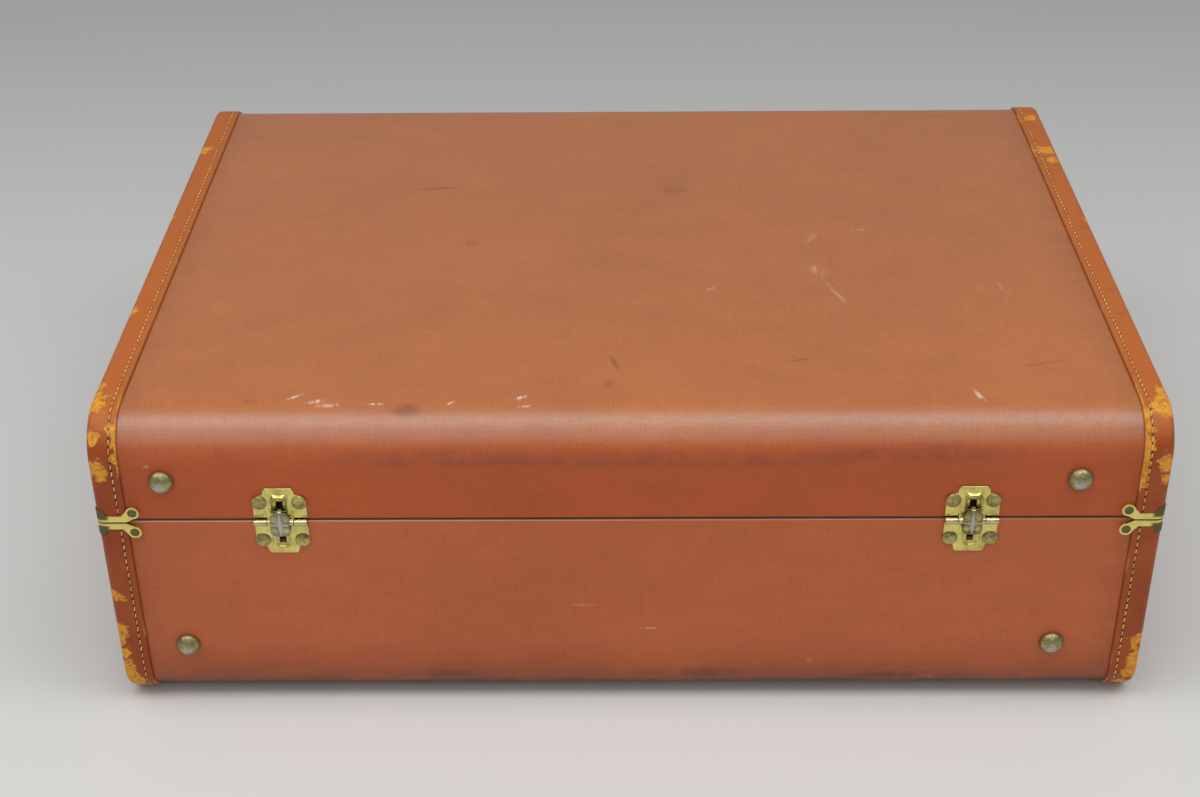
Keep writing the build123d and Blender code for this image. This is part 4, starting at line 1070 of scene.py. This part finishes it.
stayForm = {"base": 5.2, "arch": 0.35, "reach": 8.2, "thickness": 0.45, "lobe": 0.46, "star": 0.38,
            "tongue": 1.25, "tongueLine": [(6.9, 4.70), (7.9, 4.75), (8.2, 3.0), (8.8, 1.35)],
            "lobeAt": (3.2, 3.9), "lobeWidth": 1.7,
            "outline": [(2.7, 8.2), (3.7, 7.7), (5.1, 5.9), (5.7, 4.6), (5.7, 1.5), (5.0, 0.4), (5.0, -0.4),
                        (5.7, -1.5), (5.7, -4.9), (5.3, -6.1), (4.2, -7.5), (2.7, -8.2)]}   # right half


def stayShield():
    # rings from the middle to a lobed outline; an arch over the barrel with four lobes and a ridged cross
    form = stayForm
    outline = mirrored(form["outline"])
    angles = fanAngles(outline, 120)
    share = np.concatenate([[0.0], np.linspace(0.04, 0.95, 20), [0.975, 1.0]])
    drop = np.concatenate([np.zeros(21), [0.07, 0.26]])
    reach = reachOf(outline, angles) * share[:, None]
    x, y = reach * np.cos(angles), reach * np.sin(angles)
    arch = form["base"] - form["arch"] * (y / form["reach"]) ** 2
    fromLobe = np.hypot(np.abs(x) - form["lobeAt"][0], np.abs(y) - form["lobeAt"][1])
    lobes = form["lobe"] * bell(fromLobe, 0, form["lobeWidth"])
    thinX, thinY = 0.85 * (1.1 - np.abs(y) / 9), 0.75 * (1.1 - np.abs(x) / 6.6)
    star = np.maximum(bell(x, 0, thinX), bell(y, 0, thinY))
    top = arch + lobes + form["star"] * star - drop[:, None]
    bareAndShade = np.clip(star * 1.4, 0, 1) * smoothStep(8.2, 6.0, np.abs(y))
    # painted shade and grime in the ditches between the cross and the lobes, and along the rim
    ditch = np.clip(1 - star * 1.3 - lobes / form["lobe"] * 1.2, 0, 1)
    grimeAndShade = ditch * 0.80 + smoothStep(0.90, 1.0, share[:, None]) * 0.4
    points, faces = ringSolid(x, y, top, arch - form["thickness"])
    return (points, faces, np.concatenate([bareAndShade, np.zeros_like(bareAndShade)]).ravel(),
            np.concatenate([grimeAndShade, grimeAndShade]).ravel())


def stripAlong(centre, aside, out, halfWidth, thickness):
    # a flat strip: a rounded rectangle carried along the centre line, closed at both ends
    rows = len(centre)
    aside, out = (np.broadcast_to(way, (rows, 3))[:, None] for way in (aside, out))
    w, t = np.broadcast_to(halfWidth, rows), thickness / 2
    bevel = min(thickness, w.min()) * 0.3
    across = stacked(-w, -w, -w + bevel, w - bevel, w, w, w - bevel, -w + bevel)
    rises = np.array([-t + bevel, t - bevel, t, t, t - bevel, -t + bevel, -t, -t])
    loops = centre[:, None] + aside * across[..., None] + out * rises[:, None]
    end = np.array([[0, 1, 2, 7], [2, 3, 6, 7], [3, 4, 5, 6]])
    faces = [gridFaces(rows, 8, closeCols=True), end[:, ::-1], end + (rows - 1) * 8]
    return loops.reshape(-1, 3), np.concatenate(faces)


def stayTongue(direction):
    # a strip bent from the shield's end down to the leaf's opening, which it enters as the lid turns
    form = stayForm
    t = np.linspace(0, 1, 14)[:, None]
    start, knee, below, tip = (np.array([0.0, along, out]) for along, out in form["tongueLine"])
    line = (1 - t) ** 3 * start + 3 * (1 - t) ** 2 * t * knee + 3 * (1 - t) * t ** 2 * below + t ** 3 * tip
    line[:, 1] *= direction
    aside = (1.0, 0.0, 0.0)
    out = unit(np.cross(np.gradient(line, axis=0), aside))
    width = form["tongue"] + 0.60 * (1 - smoothStep(0.0, 0.5, t[:, 0]))
    return stripAlong(line, aside, out, width, form["thickness"])


def hingeStay(name):
    points, faces, bareAndShade, grimeAndShade = stayShield()
    grid, faces = joinGrids([(points, faces), stayTongue(1), stayTongue(-1)])
    more = len(grid) - len(points)
    amount = 1.0 if name == "left" else 0.75
    spread = 0.26 if name == "left" else 0.06
    bareAndShade = np.concatenate([np.clip(bareAndShade * amount + spread, 0, 1), np.zeros(more)])
    grimeAndShade = np.concatenate([grimeAndShade, np.zeros(more)])
    addPiece("hinge" + name.capitalize() + "Stay", onHinge(grid, name, 1), faces, finishes["stayPlate"],
             "hinge_stays", weights={"bareAndShade": bareAndShade, "grimeAndShade": grimeAndShade},
             replaces=["hinge_" + name + "_stay"], merge=0.001 * mm)


for name in hingeX:
    for half in halves:
        hingeLeaf(half, name)
    hingeStay(name)
print("hinges on")


# Small hardware with rounded edges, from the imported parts

hardware = {
    "lid_corner_clips": ("lidCornerClips", 0.14, "clipBrass", "lid"),
    "base_corner_clips": ("baseCornerClips", 0.14, "clipBrass", "base"),
    "latch_left_hasp_plate": ("latchLeftHaspPlate", 0.22, "hingeBrass", "lid"),
    "latch_right_hasp_plate": ("latchRightHaspPlate", 0.22, "hingeBrass", "lid"),
    "latch_left_hasp": ("latchLeftHasp", 0.22, "hingeBrass", "hasp_left"),
    "latch_right_hasp": ("latchRightHasp", 0.22, "hingeBrass", "hasp_right"),
    "latch_left_lock_case": ("latchLeftCase", 0.18, "hingeBrass", "base"),
    "latch_right_lock_case": ("latchRightCase", 0.18, "hingeBrass", "base"),
    "handle_bracket_left": ("handleBracketLeft", 0.25, "hingeBrass", "base"),
    "handle_bracket_right": ("handleBracketRight", 0.25, "hingeBrass", "base"),
    "strap_buckle": ("strapBuckle", 0.35, "hingeBrass", "base"),
}
for node, (name, width, finish, body) in hardware.items():
    softened(node, name, width * mm, finishes[finish], body)
print("hardware on")


# Handle grip

gripLow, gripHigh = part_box("handle_grip")
gripForm = {"end": 17.0 * mm, "middle": 22.0 * mm, "thick": 10.2 * mm, "power": 2.5, "round": 4.0 * mm,
            "pitch": 4.2 * mm, "rings": 61, "sides": 72, "stitchColumns": {-1: 44, 1: 64}}


def gripRings():
    # superellipse rings along x, taller in the middle and rounded off at both ends
    form = gripForm
    half = (gripHigh.x - gripLow.x) / 2
    share = np.sin(np.linspace(-np.pi / 2, np.pi / 2, form["rings"]))
    x = share * half
    tall = (form["end"] + (form["middle"] - form["end"]) * np.cos(share * np.pi / 2)) / 2
    close = np.clip((half - np.abs(x)) / form["round"], 0, 1)
    shrink = np.sqrt(1 - (1 - close) ** 2) * 0.55 + 0.45
    shrink[0] = shrink[-1] = 0.0
    turn = evenTurn(form["sides"])
    c, s = np.cos(turn), np.sin(turn)
    roundness = (np.abs(c) ** form["power"] + np.abs(s) ** form["power"]) ** (-1 / form["power"])
    seamLine = 1 - 0.035 * bell(s, -0.55, 0.06)
    y = (form["thick"] / 2 * shrink)[:, None] * (c * roundness * seamLine)[None, :]
    z = (tall * shrink)[:, None] * (s * roundness)[None, :]
    return x, y, z


def leatherGrip():
    form = gripForm
    x, y, z = gripRings()
    centreY, centreZ = (gripLow.y + gripHigh.y) / 2, (gripLow.z + gripHigh.z) / 2
    grid = stacked(x[:, None], centreY + y, centreZ + z)
    worn = np.clip(np.abs(x[:, None]) / 0.06, 0, 1) ** 3 * 0.5 + 0.25 * (y / 0.005) ** 6
    faces = gridFaces(form["rings"], form["sides"], closeCols=True)
    addPiece("handleGripLeather", grid, faces, finishes["grip"], "handle",
             weights={"worn": np.clip(worn, 0, 1)}, replaces=["handle_grip"], merge=0.002 * mm)
    rows = []
    for side, column in form["stitchColumns"].items():
        rows.append(stitchRow(grid[6:-6, column], (0.0, side, -0.35), form["pitch"]))
    addStitches("handleStitching", rows, "handle")


leatherGrip()
print("grip on")


# Cloth pocket in the lid, straps on the base's floor

pocketLow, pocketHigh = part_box("lid_pocket")
pocketForm = {"folds": 44, "hem": 11.0 * mm, "cloth": 0.5 * mm}


def pocketCloth():
    # gathers across x, deeper towards the hem and the sewn foot; the panel bellies down in between
    form = pocketForm
    u = np.linspace(0, 1, 700)[:, None]
    v = np.linspace(0, 1, 44)[None, :]
    x = pocketLow.x + (pocketHigh.x - pocketLow.x) * u
    y = pocketLow.y + (pocketHigh.y - pocketLow.y) * v
    drift = 0.55 * np.sin(2 * np.pi * 3 * u + 1.3) + 0.10 * np.sin(9 * v + 31 * u)
    phase = 2 * np.pi * (form["folds"] * u + drift)
    depth = 0.35 + 0.75 * v ** 4 + 0.65 * (1 - v) ** 6
    wave = (0.62 - np.abs(np.sin(phase / 2)) ** 0.8) * 1.5   # rounded crowns, sharp valleys
    gather = wave * (0.75 + 0.25 * np.sin(2 * np.pi * 7.3 * u + 2)) * depth * mm
    side = smoothStep(0.0, 0.05, u) * smoothStep(1.0, 0.95, u)
    belly = (1.9 + 2.3 * np.sin(np.pi * np.clip(v, 0, 1)) ** 0.8 * side) * mm
    z = pocketHigh.z - belly - gather * (0.3 + 0.7 * side)
    cloth = stacked(x, y, z)
    back = cloth + np.array([0, 0, form["cloth"]])
    grid, faces = closedBand(back, cloth)
    across = np.diff(cloth, axis=0)[:, :-1]
    down = np.diff(cloth, axis=1)[:-1]
    area = np.linalg.norm(np.cross(across, down), axis=-1).sum()
    print("pocket cloth area", round(area, 4))
    # painted shade along the sharp folds, stronger where the gathers are deeper
    foldShade = bothFaces(smoothStep(-0.1, 0.9, wave) * np.clip(depth, 0, 1))
    piece = addPiece("lidPocketCloth", grid, faces, finishes["pocket"], "lid",
                     weights={"foldShade": foldShade}, replaces=["lid_pocket"], sharp=70)
    return piece, cloth, area


def pocketHem(cloth):
    # elastic band along the pocket's free edge: a strip that follows its gathers loosely
    line = cloth[::4, -1].copy()
    line[:, 1] -= pocketForm["hem"] / 2
    waver = 0.4 * mm * np.sin(np.arange(len(line)) * 1.7)
    line[:, 2] = np.minimum(line[:, 2], pocketHigh.z - 2.6 * mm) + waver
    grid, faces = stripAlong(line, (0.0, 1.0, 0.0), (0.0, 0.0, -1.0), pocketForm["hem"] / 2, 1.6 * mm)
    return addPiece("lidPocketHem", grid, faces, finishes["rim"], "lid")


pocketPiece, pocketSheet, pocketArea = pocketCloth()
hemPiece = pocketHem(pocketSheet)


strapForm = {"half": 12.5 * mm, "thick": 1.5 * mm, "bend": 9.0 * mm, "slack": 0.5 * mm}


def packingStrap(name, side):
    # down the end wall, round a quarter circle and along the floor to the buckle
    form = strapForm
    low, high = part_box(name)
    wallX = max(abs(low.x), abs(high.x)) - form["thick"] / 2
    innerX = min(abs(low.x), abs(high.x))
    floor = low.z + form["thick"] / 2
    r = form["bend"]
    a = np.linspace(0, np.pi / 2, 12)
    fall = np.linspace(high.z - 0.5 * mm, floor + r, 14)
    run = np.linspace(wallX - r, innerX, 60)[1:]
    x = np.concatenate([np.full(14, wallX), wallX - r + r * np.cos(a[1:]), run])
    lift = form["slack"] * (1 - np.cos((run - innerX) * 52)) / 2
    z = np.concatenate([fall, floor + r - r * np.sin(a[1:]), floor + lift])
    line = stacked(side * x, 0.0, z)
    aside = (0.0, 1.0, 0.0)
    out = np.cross(unit(np.gradient(line, axis=0)), aside) * side
    grid, faces = stripAlong(line, aside, out, form["half"], form["thick"])
    uv = stacked(wayAlong(line)[:, None], grid.reshape(len(line), 8, 3)[..., 1])
    pieceName = "packingStrap" + ("Right" if side > 0 else "Left")
    addPiece(pieceName, grid, faces, finishes["strap"], "base", uv=uv, replaces=[name])


packingStrap("strap_left", -1)
packingStrap("strap_right", 1)
print("inside made")


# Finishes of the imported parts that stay

nodeFinish = {
    "end_covers": "endCloth", "shell": "ply", "end_left": "ply", "end_right": "ply", "lining": "lining",
    "base_rim": "rim", "pin": "steel", "handle_core": "steel", "clip_rivets": "clipRivetBrass",
    "hasp_plate_rivets": "rivetBrass", "lock_case_rivets": "rivetBrass",
    "handle_bracket_rivets": "rivetBrass", "slide": "hingeBrass", "handle_ferrules": "hingeBrass",
    "strap_anchors": "rivetBrass",
}
for name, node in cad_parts.items():
    if node.hide_render:
        continue
    ending = next(key for key in nodeFinish if name.endswith(key))
    node.data.materials.clear()
    node.data.materials.append(finishes[nodeFinish[ending]])
print("packed parts finished")


# Floor, light and camera

stageLook = {"floor": (0.72, 0.725, 0.71), "floorBack": (0.585, 0.585, 0.58), "worldLight": 0.31,
             "overhead": 24.5, "front": 16.0}


def paleFloor():
    # pale, and greyer with distance, with a slow noise on the distance
    f = Finish("paleFloor")
    place = f.place()
    y = f.parts(place)[1]
    far = (y + f.noise(place, 2.0, 2.0) * 0.1).step(-0.1, 1.5)
    base = f.blend(far, stageLook["floor"], stageLook["floorBack"])
    material = f.surface({"Base Color": base, "Roughness": 0.75})
    mesh = bpy.data.meshes.new("floor")
    reach, drop = 6.0, -0.3 * mm
    mesh.from_pydata([(a * reach, b * reach, drop) for a, b in ((-1, -1), (1, -1), (1, 1), (-1, 1))],
                     [], [(0, 1, 2, 3)])
    mesh.materials.append(material)
    floor = linked("floor", mesh)


def softbox(name, place, aim, size, strength):
    lamp = bpy.data.lights.new(name, "AREA")
    lamp.shape = "RECTANGLE"
    lamp.size, lamp.size_y = size
    lamp.energy = strength
    box = linked(name, lamp)
    box.location = place
    ahead = np.array(aim, float) - np.array(place, float)
    tip, turn = math.atan2(np.hypot(ahead[0], ahead[1]), -ahead[2]), math.atan2(-ahead[0], ahead[1])
    box.rotation_euler = (tip, 0, turn)


# Fitted to the photograph, whose frame is 1200 by 797:
# focal length in its pixels, place in metres, turn in degrees, sensor in millimetres
cameraFit = {"frame": 1200, "focal": 1937.86, "place": (-0.00494, -1.13162, 0.77722),
             "turn": (58.167, 0.496, 0.391), "sensor": 36.0}


def addCamera():
    data = bpy.data.cameras.new("camera")
    data.sensor_fit = "HORIZONTAL"
    data.sensor_width = cameraFit["sensor"]
    data.lens = cameraFit["sensor"] * cameraFit["focal"] / cameraFit["frame"]
    camera = linked("camera", data)
    camera.location = cameraFit["place"]
    camera.rotation_euler = tuple(math.radians(a) for a in cameraFit["turn"])
    bpy.context.scene.camera = camera


paleFloor()
softbox("overheadBox", (0.0, -0.50, 1.60), (0.0, -0.50, 0.0), (3.6, 0.85), stageLook["overhead"])
softbox("frontBox", (-0.4, -2.4, 2.1), (0.0, 0.0, 0.1), (3.6, 2.0), stageLook["front"])
world = bpy.data.worlds.new("world")
world.use_nodes = True
world.node_tree.nodes["Background"].inputs[0].default_value = (1.0, 1.0, 1.0, 1.0)
world.node_tree.nodes["Background"].inputs[1].default_value = stageLook["worldLight"]
bpy.context.scene.world = world
addCamera()
bpy.context.scene.view_settings.view_transform = "Standard"
print("stage set")
